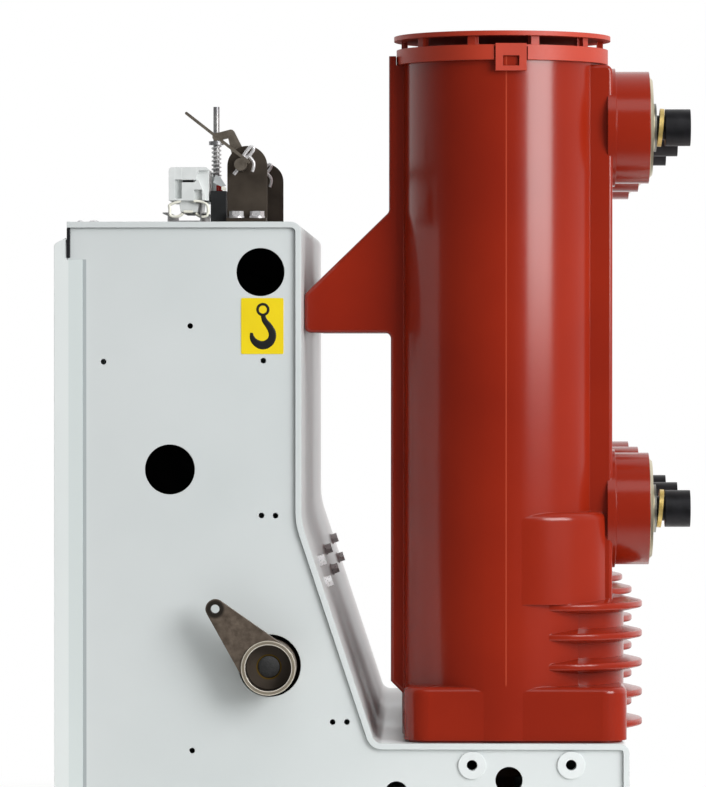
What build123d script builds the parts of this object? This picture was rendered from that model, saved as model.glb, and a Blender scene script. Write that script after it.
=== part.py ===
from build123d import *
import math
import os

os.makedirs("parts", exist_ok=True)

# Three-pole indoor vacuum circuit breaker of the fixed type, at rest: contacts open, springs relaxed.
# X runs from the front to the rear, Y from the near side to the far side, Z up from the floor.
# Sizes are in millimetres, angles in degrees, seen from the near side and counted from the rear upwards.

# Fits
seam = 0.3
running_fit = 0.05
side_play = 0.4

# Housing: one bent sheet over the top, rear, slope, shelf and tail
half_width = 295.0
wall = 4.8
front_x = -223.7
rear_x = -36.6
tail_x = 225.1
top_z = 536.4
shelf_z = 120.0
slope_top_z = 296.0
slope_foot_x = 22.0
top_corner_r = 8.5
slope_bend_r = 60.0
slope_foot_r = 8.0
tail_corner_r = 7.5
lip_height = 30.0

# Side plates, set back inside the rim of the bent sheet
plate_recess = 2.8
plate_t = 3.0
slot_width = 2.4
slot_low_z = 507.6
slot_high_z = 531.3
lifting_hole = (-69.3, 496.2, 19.25)
sight_hole = (-141.7, 338.6, 20.0)
shaft_hole_r = 25.0
low_holes = [(129.1, 90.5, 10.85), (39.3, 80.7, 9.0)]
small_holes = [(-125.4, 453.2), (-194.7, 424.7), (-67.0, 425.5), (-68.5, 301.9), (-57.3, 301.8),
               (-11.7, 136.9), (-0.3, 137.0), (-124.0, 113.9)]
small_hole_r = 2.25
bush_places = [(99.6, 102.6), (178.7, 102.9)]
bush_r = 11.0
bush_bore_r = 4.25
bush_proud = 1.5
bush_depth = 9.0

# Base plate
base_t = 4.0
base_bolt_x = 190.0
base_bolt_y = 240.0
base_bolt_r = 6.5

# Front cover
cover_depth = 10.3
cover_t = 2.0
cover_low_z = 1.0
cover_top_z = 518.5
cover_rise = 4.8
cover_bend_r = 3.5
cover_flange_x = -211.3
cover_flange_z = 506.0
window_width = 34.0
window_height = 18.0
crank_hole_r = 15.0

# Poles
pole_x = 124.5
pole_pitch = 210.0
pole_r = 81.5
pole_top_z = 675.5
pole_bore_r = 70.0
rod_bore_r = 42.0
ledge_z = 270.0
rib_x = 32.5
rib_half = 16.0
rib_low_x = 34.0
rib_low_z = 164.8
rib_drop = 3.2
rib_edge_r = 3.0
column_x = 212.9
column_half = 41.6
column_drop = 11.7
column_top_r = 6.0
column_edge_r = 3.0
foot_front_x = 45.0
foot_rear_x = 223.8
foot_half = 80.0
foot_top_z = 164.5
foot_corner_r = 20.0
foot_edge_r = 5.0
foot_rebate = 1.8
foot_set_back = 3.5
belly_x = 206.8
belly_axis_x = 140.5
belly_r = 80.2
belly_low_z = 230.3
belly_top_z = 304.0
belly_edge_r = 6.5
shed_x = 165.6
shed_core_r = 57.9
shed_r = 73.0
shed_first_z = 227.8
shed_pitch = 23.9
shed_count = 5
shed_tip = 5.0
shed_tip_r = 2.0
shed_root = 12.0
bracket_low_z = 447.9
bracket_face_z = 479.0
bracket_high_z = 546.0
bracket_corner_r = 5.0
boss_r = 45.5
boss_x = 243.5
boss_flange_r = 48.0
boss_flange = 3.1
boss_root = 4.0
terminal_drop = 60.7
lower_terminal_z = 304.8

# Pole caps
cap_r = 88.0
cap_rise = 12.8
cap_disc = 3.7
neck_r = 82.0
neck_wall = 5.0
neck_band = 1.6
vent_count = 10
vent_width = 44.0
skirt_r = 86.0
skirt_height = 10.5
clip_width = 24.8
clip_drop = 19.0
clip_rise = 2.8
clip_t = 4.8
clip_slit = 1.0
clip_turn = 4.0
lug_proud = 2.6
clip_window_width = 13.0
clip_window_height = 8.0
clip_window_drop = 11.0

# Current path inside a pole
terminal_width = 56.0
terminal_height = 30.0
contact_r = 41.0
contact_disc = 2.8
contact_edge = 2.2
seat_r = 19.5
seat_t = 3.3
screw_r = 10.0
screw_head_r = 15.0
screw_head = 20.4
screw_reach = 32.0
screw_socket_r = 9.8
screw_socket_depth = 10.0
washer_gap = 7.4
washer_r = 15.5
washer_t = 3.4
washer_tilt = 5.0
stem_r = 15.0
stem_stroke = 11.0
stem_low_z = 262.0
stud_r = 6.0
stud_length = 26.0
fixed_stem_r = 16.0
bottle_r = 48.0
bottle_cap_r = 40.0
bottle_cap = 7.0
bottle_shield_r = 52.0
bottle_shield = 60.0
bottle_bore = 60.0

# Main shaft and the linkage to the poles
shaft_x = -62.0
shaft_z = 182.0
shaft_r = 21.75
shaft_bore_r = 18.35
shaft_near_y = -322.0
shaft_far_y = 286.0
plug_depth = 16.0
plug_t = 6.0
plug_hole_r = 8.5
crank_r = 38.0
rod_stroke = 20.0
eye_r = 10.0
pin_r = 5.0
rod_t = 12.0
rod_width = 16.0
fork_t = 6.0
tongue_r = 10.0
stud_rise = 16.5
hand_arm = 63.0
hand_angle = 132.0
hand_eye_r = 7.7
hand_hole_r = 3.5
hand_t = 6.0
hand_set_back = 1.5
rocker_z = 60.0
rocker_rear = 62.5
rocker_end_r = 11.0
rocker_hub_r = 18.0
axle_r = 10.0
slot_play = 0.3
slot_travel = 2.8
stem_cup_r = 24.0
cup_drop = 96.0
rod_shed_r = 32.0
rod_shed = 7.0
spring_cup_r = 22.0
push_turns = 6
push_wire = 3.5
shelf_hole_r = 36.0

# Hangers that carry the main shaft from the slope
hanger_t = 8.0
hanger_boss_r = 30.0
hanger_foot = 38.0
slope_bolt_zs = (261.5, 244.4)
slope_bolt_r = 2.5
slope_bolt_flats = 8.0
slope_bolt_head = 5.0
slope_washer_r = 5.0
slope_washer = 1.0

# Spring mechanism between two plates in the front of the housing
mech_half = 70.0
mech_t = 6.0
mech_front_x = -212.0
mech_rear_x = -96.0
mech_top_z = 430.0
mech_foot = 20.0
rise_front_x = -140.0
rise_rear_x = -52.0
rise_low_z = 402.0
rise_bend_z = 470.0
tie_r = 8.0
tie_inset = 14.0
cam_x = -116.0
cam_z = 246.0
cam_shaft_r = 12.5
cam_low_r = 26.0
cam_high_r = 57.5
cam_y = -45.0
cam_t = 14.0
cam_start = 20.0
cam_span = 110.0
cam_steps = 6
roller_r = 12.0
roller_play = 1.0
roller_arm = 60.0
roller_angle = 105.0
cheek_t = 5.0
stop_arm = 63.0
stop_y = -25.0
latch_y = -17.0
latch_t = 6.0
spring_crank_r = 40.0
spring_pin_r = 6.0
crank_plate_t = 8.0
shaft_proud = 2.0
closing_coil_r = 18.0
closing_wire_r = 3.0
closing_turns = 9
anchor_z = 40.0
opening_arm = 40.0
opening_angle = 240.0
opening_lever_y = 140.0
opening_anchor_z = 26.0
opening_coil_r = 14.0
opening_wire_r = 2.2
opening_turns = 9

# Half shafts, releases and buttons
half_shaft_x = -185.0
trip_z = 150.0
close_z = 262.0
half_shaft_r = 7.0
paddle_reach = 32.0
paddle_width = 14.0
paddle_t = 5.0
press_height = 25.0
press_gap = 2.0
coil_paddle_y = 45.0
coil_length = 40.0
coil_r = 20.0
coil_gap = 5.5
button_y = -50.0
button_r = 11.0
button_flange_r = 14.0
button_cap = 4.3
button_stem_r = 4.0

# Indicators behind the windows
flag_r = 24.0
flag_t = 2.0
flag_width = 40.0
flag_span = 84.0
flag_lean = 18.0
flag_x = -205.0
flag_y = 110.0
position_z = 215.0
charge_z = 330.0
flag_stud_r = 4.0
flag_hub_r = 8.0

# Gear motor that charges the closing spring
gearbox_depth = 54.0
gearbox_low_z = 208.0
gearbox_high_z = 292.0
gearbox_front_x = -150.0
gearbox_rear_x = -86.0
motor_r = 26.0
motor_low_z = 60.0
motor_x = -119.0
crank_tube_z = 268.0
crank_tube_x = -221.0
crank_tube_r = 13.0
crank_bore_r = 9.5
crank_bore_depth = 60.0

# Auxiliary switch on the far end of the main shaft
aux_half = 37.0
aux_near_y = 250.0

# Interlock gear on top
ear_x = -80.5
ear_width = 32.0
ear_height = 61.2
ear_t = 3.0
ear_foot = 19.0
ear_near_y = -272.0
ear_far_y = 99.0
ear_bolt_pitch = 16.5
ear_bolt_r = 3.3
bracket_bolt_r = 3.0
bracket_bolt_flats = 10.0
bracket_bolt_head = 4.0
bracket_washer_r = 6.2
bracket_washer = 1.6
cross_x = -85.4
cross_z = 582.2
cross_r = 5.0
needle_angle = 142.0
needle_offset = 5.65
needle_back = 4.0
needle_reach = 59.0
needle_width = 2.4
needle_t = 3.0
finger_angle = 132.2
finger_reach = 32.1
finger_r = 3.0
finger_t = 3.0
knee_angle = 109.7
knee_reach = 28.5
plunger_y = -240.0
plunger_r = 2.5
plunger_top_z = 630.5
plunger_low_z = 505.0
collar_r = 6.0
collar_t = 3.0
guide_r = 3.6
guide_top_z = 574.0
return_coil_r = 3.4
return_wire_r = 0.7
return_turns = 7

# Control wiring terminals and the signalling switch on top
rail_x = -130.0
rail_width = 35.0
rail_base = 27.0
rail_height = 7.5
rail_t = 1.0
rail_near_y = -290.0
rail_far_y = -150.0
block_x = -126.45
block_width = 31.1
block_height = 34.5
block_pitch = 12.0
block_gap = 0.6
block_slope = (10.4, 8.6)
block_count = 9
switch_x = -103.4
switch_y = -262.0
switch_width = 12.5
switch_depth = 34.0
switch_height = 25.0
switch_button_r = 2.6
switch_button_rise = 5.0

# Worked out from the sizes above
slope_bore = slope_bolt_r + seam
plate_outer = half_width - plate_recess
plate_inner = plate_outer - plate_t
cover_x = front_x - cover_depth
slope_angle = math.atan2(slope_foot_x - rear_x, slope_top_z - shelf_z)
rib_top_z = pole_top_z - rib_drop
column_top_z = pole_top_z - column_drop
upper_terminal_z = pole_top_z - terminal_drop
cap_top_z = pole_top_z + cap_rise
clip_low_z = pole_top_z - clip_drop
clip_high_z = pole_top_z + clip_rise
clip_window_z = pole_top_z - clip_window_drop
rib_step_x = pole_x - skirt_r - seam
rib_step_z = pole_top_z - skirt_height
pole_places = {"near": -pole_pitch, "middle": 0.0, "far": pole_pitch}
crank_swing = math.degrees(math.asin(rod_stroke / 2 / crank_r))
rod_x = shaft_x + crank_r * (1 + math.cos(math.radians(crank_swing))) / 2
rocker_x = pole_x - rocker_rear
rocker_front = rocker_x - rod_x
rocker_tilt = math.degrees(math.asin(rod_stroke / 2 / rocker_front))
fork_half = rod_t / 2 + side_play
crank_plate_y = mech_half + mech_t + shaft_proud
spring_y = crank_plate_y + crank_plate_t + closing_coil_r + closing_wire_r + 2 * side_play
opening_y = opening_lever_y + fork_t + opening_coil_r + opening_wire_r + 2 * side_play


def turned(x, z, reach, angle):
    """Point at a reach and angle from (x, z) in the side view."""
    return (x + reach * math.cos(math.radians(angle)), z + reach * math.sin(math.radians(angle)))


def side_view(y):
    """Upright plane at depth y, looking at the near side: local x is X, local y is Z."""
    return Plane.XZ.offset(-y)


def sheet_corners(inset):
    """Corners of the bent sheet in the side view, moved inward by inset."""
    return [
        (front_x, top_z - inset),
        (rear_x - inset, top_z - inset),
        (rear_x - inset, slope_top_z - inset * math.tan(slope_angle / 2)),
        (slope_foot_x - inset * math.tan(math.pi / 4 - slope_angle / 2), shelf_z - inset),
        (tail_x - inset, shelf_z - inset),
        (tail_x - inset, 0),
    ]


def housing_face(inset):
    """Side of the housing inside the bent sheet, closed along the front and the floor."""
    corners = sheet_corners(inset)
    radii = [max(top_corner_r - inset, 1), slope_bend_r - inset, slope_foot_r + inset,
             max(tail_corner_r - inset, 1)]
    with BuildSketch() as face:
        with BuildLine():
            FilletPolyline(*corners, radius=radii)
            Polyline(corners[-1], (front_x, 0), corners[0])
        make_face()
    return face.sketch


def slope_point(z, inward):
    """Point of the sloped wall whose outer face is at height z, moved inward by a distance."""
    x = rear_x + (slope_top_z - z) * math.tan(slope_angle)
    return (x - inward * math.cos(slope_angle), z - inward * math.sin(slope_angle))


def slope_plane(y, z, inward):
    """Plane along the sloped wall at depth y and outer height z, moved inward by a distance."""
    x, z = slope_point(z, inward)
    return Plane(origin=(x, y, z), x_dir=(0, 1, 0), z_dir=(math.cos(slope_angle), 0, math.sin(slope_angle)))


def lever_face(*circles):
    """Flat lever outline: the hull round (x, z, radius) circles."""
    with BuildSketch() as face:
        for x, z, r in circles:
            with Locations((x, z)):
                Circle(r)
        make_hull()
    return face.sketch


crank_pin = turned(shaft_x, shaft_z, crank_r, crank_swing)
front_pin = turned(rocker_x, rocker_z, rocker_front, 180 - rocker_tilt)
rear_pin = turned(rocker_x, rocker_z, rocker_rear, -rocker_tilt)
roller = turned(shaft_x, shaft_z, roller_arm, roller_angle)
opening_pin = turned(shaft_x, shaft_z, opening_arm, opening_angle)
finger_tip = turned(cross_x, cross_z, finger_reach, finger_angle)
finger_knee = turned(cross_x, cross_z, knee_reach, knee_angle)
plunger_x = finger_tip[0]

# Bent sheet with the lip that closes the top front, the shelf openings and the guide of the plunger
with BuildPart() as wrap_panel:
    with BuildSketch(Plane.XZ):
        add(housing_face(0))
        add(housing_face(wall), mode=Mode.SUBTRACT)
    extrude(amount=half_width, both=True)
    with BuildSketch(Plane.XZ):
        with Locations((front_x, top_z - wall)):
            Rectangle(wall, lip_height, align=(Align.MIN, Align.MAX))
    extrude(amount=plate_inner - seam, both=True)
    with BuildSketch(Plane.XY.offset(top_z)):
        with Locations((plunger_x, plunger_y)):
            Circle(guide_r)
    extrude(amount=guide_top_z - top_z)
    with BuildSketch(Plane.XY.offset(guide_top_z)):
        with Locations((plunger_x, plunger_y)):
            Circle(plunger_r + running_fit)
        for ear_y in (ear_near_y, ear_far_y):
            with Locations((ear_x, ear_y - ear_t - ear_foot / 2)):
                with GridLocations(ear_bolt_pitch, 1, 2, 1):
                    Circle(ear_bolt_r)
    extrude(amount=-(guide_top_z - top_z + 2 * wall), mode=Mode.SUBTRACT)
    with BuildSketch(Plane.XY.offset(shelf_z)):
        with Locations(*[(pole_x, y) for y in pole_places.values()]):
            Circle(shelf_hole_r)
    extrude(amount=2 * wall, both=True, mode=Mode.SUBTRACT)
    for z in slope_bolt_zs:
        for y in pole_places.values():
            with BuildSketch(slope_plane(y, z, 0)):
                Circle(slope_bore)
            extrude(amount=2 * wall, both=True, mode=Mode.SUBTRACT)
wrap_panel.part.label = "wrap_panel"
export_step(wrap_panel.part, "parts/wrap_panel.step")


def side_plate(side):
    """Flat side of the housing, with its openings and two welded bushes; side is -1 near, 1 far."""
    with BuildPart() as plate:
        with BuildSketch(side_view(side * plate_outer)):
            add(housing_face(wall + seam))
        extrude(amount=side * plate_t)
        with BuildSketch(side_view(side * (plate_outer + bush_proud))):
            with Locations(*bush_places):
                Circle(bush_r)
        extrude(amount=side * bush_depth)
        with BuildSketch(side_view(side * half_width)):
            for x, z, r in [lifting_hole, sight_hole, *low_holes]:
                with Locations((x, z)):
                    Circle(r)
            with Locations((shaft_x, shaft_z)):
                Circle(shaft_hole_r)
            with Locations(*small_holes):
                Circle(small_hole_r)
            with Locations(*bush_places):
                Circle(bush_bore_r)
            with Locations((rocker_x, rocker_z)):
                Circle(axle_r + running_fit)
            with Locations((front_x, slot_low_z)):
                Rectangle(slot_width, slot_high_z - slot_low_z, align=Align.MIN)
        extrude(amount=side * 2 * (plate_recess + bush_depth), mode=Mode.SUBTRACT)
    return plate.part


for name, side in (("side_plate_near", -1), ("side_plate_far", 1)):
    plate = side_plate(side)
    plate.label = name
    export_step(plate, f"parts/{name}.step")

# Floor of the housing, with four bolt holes and the eye of the opening spring
with BuildPart() as base_plate:
    with BuildSketch():
        with Locations((cover_x + cover_t + seam, 0)):
            Rectangle(tail_x - wall - cover_t - 2 * seam - cover_x, 2 * (plate_inner - seam),
                      align=(Align.MIN, Align.CENTER))
        with GridLocations(2 * base_bolt_x, 2 * base_bolt_y, 2, 2):
            Circle(base_bolt_r, mode=Mode.SUBTRACT)
    extrude(amount=base_t)
    with BuildSketch(side_view(opening_lever_y)):
        with Locations((opening_pin[0], base_t)):
            Rectangle(2 * eye_r, opening_anchor_z - base_t, align=(Align.CENTER, Align.MIN))
        with Locations((opening_pin[0], opening_anchor_z)):
            Circle(eye_r)
    extrude(amount=-fork_t)
    with BuildSketch(side_view(opening_lever_y)):
        with Locations((opening_pin[0], opening_anchor_z)):
            Circle(pin_r)
    extrude(amount=-(opening_y - opening_lever_y + pin_r))
base_plate.part.label = "base_plate"
export_step(base_plate.part, "parts/base_plate.step")

# Front cover: a tray whose side flanges lie outside the side plates
cover_outer = plate_outer + seam + cover_t
cover_lip_x = front_x - seam - cover_t / 2
with BuildPart() as front_cover:
    with BuildSketch(Plane.XZ):
        with BuildLine():
            FilletPolyline((cover_x, cover_low_z), (cover_x, cover_top_z),
                           (cover_lip_x, cover_top_z + cover_rise), radius=cover_bend_r)
            offset(amount=cover_t, side=Side.RIGHT)
        make_face()
    extrude(amount=cover_outer, both=True)
    for side in (-1, 1):
        with BuildSketch(side_view(side * cover_outer)):
            with BuildLine():
                Polyline((cover_x, cover_low_z), (cover_x, cover_top_z - cover_bend_r),
                         (cover_x + cover_bend_r, cover_top_z), (cover_lip_x, cover_top_z + cover_rise),
                         (front_x - seam, cover_top_z),
                         (front_x - seam, cover_flange_z), (cover_flange_x, cover_flange_z),
                         (cover_flange_x, cover_low_z), close=True)
            make_face()
        extrude(amount=side * cover_t)
    with BuildSketch(Plane.YZ.offset(cover_x)):
        with Locations((button_y, trip_z + press_height), (button_y, close_z + press_height)):
            Circle(button_r + seam)
        with Locations((flag_y, position_z), (-flag_y, charge_z)):
            Rectangle(window_width, window_height)
        with Locations((-mech_half - mech_t - gearbox_depth / 2, crank_tube_z)):
            Circle(crank_hole_r)
    extrude(amount=2 * cover_t, mode=Mode.SUBTRACT)
front_cover.part.label = "front_cover"
export_step(front_cover.part, "parts/front_cover.step")


def pole_foot(y):
    """Foot of a pole: a rounded block on a slightly smaller base."""
    width = foot_rear_x - foot_front_x
    with BuildPart() as foot:
        with BuildSketch(Plane.XY.offset(shelf_z + foot_rebate)):
            with Locations((foot_front_x + width / 2, y)):
                RectangleRounded(width, 2 * foot_half, foot_corner_r)
        extrude(amount=foot_top_z - shelf_z - foot_rebate)
        fillet(foot.faces().sort_by(Axis.Z)[-1].edges(), foot_edge_r)
        with BuildSketch(Plane.XY.offset(shelf_z)):
            with Locations((foot_front_x + width / 2, y)):
                RectangleRounded(width - 2 * foot_set_back, 2 * (foot_half - foot_set_back),
                                 foot_corner_r - foot_set_back)
        extrude(amount=foot_rebate)
    return foot.part


def pole_belly(y):
    """Round belly round the lower terminal, cut flat at the rear, with a rounded top edge."""
    with BuildPart() as belly:
        with BuildSketch(Plane.XY.offset(belly_low_z)):
            with Locations((belly_axis_x, y)):
                Circle(belly_r)
            with Locations((belly_x, y)):
                Rectangle(belly_r, 2 * belly_r, align=(Align.MIN, Align.CENTER), mode=Mode.SUBTRACT)
        extrude(amount=belly_top_z - belly_low_z)
        fillet(belly.faces().sort_by(Axis.Z)[-1].edges(), belly_edge_r)
    return belly.part


def pole_column(y):
    """Rear column that carries both terminals, with a rounded top and rounded edges."""
    with BuildPart() as column:
        with BuildSketch(side_view(y)):
            with BuildLine():
                rear = FilletPolyline((column_x, belly_low_z), (column_x, column_top_z),
                                      (pole_x, column_top_z), radius=column_top_r)
                Polyline(rear @ 1, (pole_x, belly_low_z), (column_x, belly_low_z))
            make_face()
        extrude(amount=column_half, both=True)
        sides = column.edges().group_by(Axis.Y)[0] + column.edges().group_by(Axis.Y)[-1]
        outer = [edge for edge in sides if edge.center().X > pole_x and edge.center().Z > belly_low_z]
        fillet(outer, column_edge_r)
    return column.part


def pole_rib(y):
    """Front rib with the bracket that rests against the housing, its edges rounded."""
    low_slope = foot_front_x - rib_low_x
    with BuildPart() as rib:
        with BuildSketch(side_view(y)):
            with BuildLine():
                front = FilletPolyline((rib_low_x, rib_low_z), (rib_low_x, bracket_low_z),
                                       (rear_x + seam, bracket_low_z), (rear_x + seam, bracket_face_z),
                                       (rib_x, bracket_high_z), (rib_x, rib_top_z), radius=bracket_corner_r)
                Polyline(front @ 1, (rib_step_x, rib_top_z), (rib_step_x, rib_step_z), (pole_x, rib_step_z),
                         (pole_x, rib_low_z), (foot_front_x + low_slope, rib_low_z - low_slope),
                         (foot_front_x, rib_low_z - low_slope), front @ 0)
            make_face()
        extrude(amount=rib_half, both=True)
        sides = rib.edges().group_by(Axis.Y)[0] + rib.edges().group_by(Axis.Y)[-1]
        outer = [edge for edge in sides if edge.center().X < foot_front_x - rib_edge_r
                 and edge.center().Z < rib_step_z]
        fillet(outer, rib_edge_r)
    return rib.part


def pole_sheds(y):
    """Ribbed insulating skirts between the foot and the belly."""
    shed_low_z = shed_first_z - (shed_count - 1) * shed_pitch
    core_x = shed_x + shed_core_r
    with BuildPart() as sheds:
        with BuildSketch(side_view(y)):
            with BuildLine():
                Polyline((shed_x, foot_top_z - shed_pitch), (core_x, foot_top_z - shed_pitch),
                         (core_x, shed_first_z), (shed_x, shed_first_z), close=True)
            make_face()
            for step in range(shed_count):
                z = shed_low_z + step * shed_pitch
                with BuildLine():
                    skirt = FilletPolyline((core_x, z - shed_root / 2), (shed_x + shed_r, z - shed_tip / 2),
                                           (shed_x + shed_r, z + shed_tip / 2), (core_x, z + shed_root / 2),
                                           radius=shed_tip_r)
                    Polyline(skirt @ 1, (shed_x, z + shed_root / 2), (shed_x, z - shed_root / 2), skirt @ 0)
                make_face()
        revolve(axis=Axis((shed_x, y, 0), (0, 0, 1)))
    return sheds.part


def pole_housing(y):
    """Cast resin pole: foot, belly, sheds, rear column, terminal bosses, front rib and bracket."""
    with BuildPart() as pole:
        add(pole_foot(y))
        add(pole_belly(y))
        with BuildSketch(Plane.XY.offset(shelf_z + foot_rebate)):
            with Locations((pole_x, y)):
                Circle(pole_r)
        extrude(amount=pole_top_z - shelf_z - foot_rebate)
        add(pole_column(y))
        add(pole_sheds(y))
        add(pole_rib(y))
        for z in (upper_terminal_z, lower_terminal_z):
            with BuildSketch(Plane.YZ.offset(column_x - boss_root)):
                with Locations((y, z)):
                    Circle(boss_r)
            extrude(amount=boss_x - column_x + boss_root)
            with BuildSketch(Plane.YZ.offset(column_x - boss_root)):
                with Locations((y, z)):
                    Circle(boss_flange_r)
            extrude(amount=boss_root + boss_flange)
        for turn in (0, 180):
            with BuildSketch(clip_plane(y, turn)):
                with Locations((0, clip_window_z)):
                    Rectangle(clip_window_width - 2 * seam, clip_window_height - 2 * seam)
            extrude(amount=pole_r + lug_proud)
        with BuildSketch(Plane.XY.offset(ledge_z)):
            with Locations((pole_x, y)):
                Circle(pole_bore_r)
        extrude(amount=pole_top_z - ledge_z, mode=Mode.SUBTRACT)
        with BuildSketch(Plane.XY.offset(shelf_z)):
            with Locations((pole_x, y)):
                Circle(rod_bore_r)
        extrude(amount=ledge_z - shelf_z, mode=Mode.SUBTRACT)
        with BuildSketch(Plane.YZ.offset(pole_x)):
            with Locations((y, upper_terminal_z), (y, lower_terminal_z)):
                Rectangle(terminal_width + 2 * seam, terminal_height + 2 * seam)
        extrude(amount=boss_x - pole_x, mode=Mode.SUBTRACT)
    return pole.part


def clip_plane(y, turn):
    """Upright plane through a pole's axis that faces the clip of its cap."""
    angle = math.radians(clip_turn + turn)
    return Plane(origin=(pole_x, y, 0), x_dir=(math.cos(angle), math.sin(angle), 0),
                 z_dir=(math.sin(angle), -math.cos(angle), 0))


def pole_cap(y):
    """Clip-on lid of a pole: disc, vented neck, skirt and two clips."""
    disc_low_z = cap_top_z - cap_disc
    neck_low_z = pole_top_z + seam
    with BuildPart() as cap:
        with BuildSketch(Plane.XY.offset(disc_low_z)):
            with Locations((pole_x, y)):
                Circle(cap_r)
        extrude(amount=cap_disc)
        with BuildSketch(Plane.XY.offset(neck_low_z)):
            with Locations((pole_x, y)):
                Circle(neck_r)
                Circle(neck_r - neck_wall, mode=Mode.SUBTRACT)
        extrude(amount=disc_low_z - neck_low_z)
        with BuildSketch(Plane.XY.offset(neck_low_z + neck_band)):
            with Locations((pole_x, y)):
                with PolarLocations(neck_r, vent_count, start_angle=-90):
                    Rectangle(3 * neck_wall, vent_width)
        extrude(amount=disc_low_z - neck_low_z - neck_band, mode=Mode.SUBTRACT)
        with BuildSketch(Plane.XY.offset(neck_low_z)):
            with Locations((pole_x, y)):
                Circle(skirt_r)
                Circle(pole_r + seam, mode=Mode.SUBTRACT)
        extrude(amount=-skirt_height)
        with BuildSketch(Plane.XY.offset(neck_low_z)):
            with Locations((pole_x, y)):
                Circle(skirt_r)
                Circle(neck_r - neck_wall, mode=Mode.SUBTRACT)
        extrude(amount=neck_band)
        for turn in (0, 180):
            face = clip_plane(y, turn).offset(pole_r + seam)
            with BuildSketch(face.offset(-clip_t)):
                with Locations((0, neck_low_z)):
                    Rectangle(clip_width + 2 * clip_slit, skirt_height, align=(Align.CENTER, Align.MAX))
            extrude(amount=2 * clip_t, mode=Mode.SUBTRACT)
            with BuildSketch(face):
                with Locations((0, (clip_low_z + clip_high_z) / 2)):
                    Rectangle(clip_width, clip_high_z - clip_low_z)
                with Locations((0, clip_window_z)):
                    Rectangle(clip_window_width, clip_window_height, mode=Mode.SUBTRACT)
            extrude(amount=clip_t)
    return cap.part


def terminal(y, z, bore_r):
    """Copper bar from the pole's axis to the boss, with a round contact face and a raised seat."""
    with BuildPart() as bar:
        with BuildSketch(Plane.YZ.offset(pole_x - terminal_width / 2)):
            with Locations((y, z)):
                Rectangle(terminal_width, terminal_height)
        extrude(amount=boss_x - pole_x + terminal_width / 2)
        with BuildSketch(Plane.YZ.offset(boss_x)):
            with Locations((y, z)):
                Circle(contact_r)
        extrude(amount=contact_disc)
        chamfer(bar.faces().sort_by(Axis.X)[-1].edges(), contact_edge)
        with BuildSketch(Plane.YZ.offset(boss_x + contact_disc)):
            with Locations((y, z)):
                Circle(seat_r)
        extrude(amount=seat_t)
        with BuildSketch(Plane.YZ.offset(boss_x + contact_disc + seat_t)):
            with Locations((y, z)):
                Circle(screw_r + running_fit)
        extrude(amount=-screw_reach, mode=Mode.SUBTRACT)
        with BuildSketch(Plane.XY.offset(z + terminal_height / 2)):
            with Locations((pole_x, y)):
                Circle(bore_r)
        extrude(amount=-terminal_height, mode=Mode.SUBTRACT)
    return bar.part


def interrupter(y):
    """Sealed vacuum bottle with its fixed stem up and a guide bore for the moving stem below."""
    low_z = lower_terminal_z + terminal_height / 2 + seam
    top_z_bottle = upper_terminal_z - terminal_height / 2 - rod_t
    middle_z = (low_z + top_z_bottle) / 2
    with BuildPart() as bottle:
        with BuildSketch(side_view(y)):
            with BuildLine():
                Polyline((pole_x, low_z), (pole_x + bottle_cap_r, low_z),
                         (pole_x + bottle_cap_r, low_z + bottle_cap), (pole_x + bottle_r, low_z + bottle_cap),
                         (pole_x + bottle_r, middle_z - bottle_shield / 2),
                         (pole_x + bottle_shield_r, middle_z - bottle_shield / 2),
                         (pole_x + bottle_shield_r, middle_z + bottle_shield / 2),
                         (pole_x + bottle_r, middle_z + bottle_shield / 2),
                         (pole_x + bottle_r, top_z_bottle - bottle_cap),
                         (pole_x + bottle_cap_r, top_z_bottle - bottle_cap),
                         (pole_x + bottle_cap_r, top_z_bottle),
                         (pole_x + fixed_stem_r, top_z_bottle),
                         (pole_x + fixed_stem_r, upper_terminal_z + terminal_height / 2 + seam),
                         (pole_x, upper_terminal_z + terminal_height / 2 + seam), close=True)
            make_face()
        revolve(axis=Axis((pole_x, y, 0), (0, 0, 1)))
        with BuildSketch(Plane.XY.offset(low_z)):
            with Locations((pole_x, y)):
                Circle(stem_r + running_fit)
        extrude(amount=bottle_bore, mode=Mode.SUBTRACT)
    return bottle.part


def moving_stem(y):
    """Copper stem of the moving contact with the stud that enters the push rod."""
    top = lower_terminal_z + terminal_height / 2 + bottle_bore - stem_stroke - slot_travel
    with BuildPart() as stem:
        with BuildSketch(Plane.XY.offset(stem_low_z)):
            with Locations((pole_x, y)):
                Circle(stem_r)
        extrude(amount=top - stem_low_z)
        with BuildSketch(Plane.XY.offset(stem_low_z)):
            with Locations((pole_x, y)):
                Circle(stud_r)
        extrude(amount=-stud_length)
    return stem.part


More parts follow.
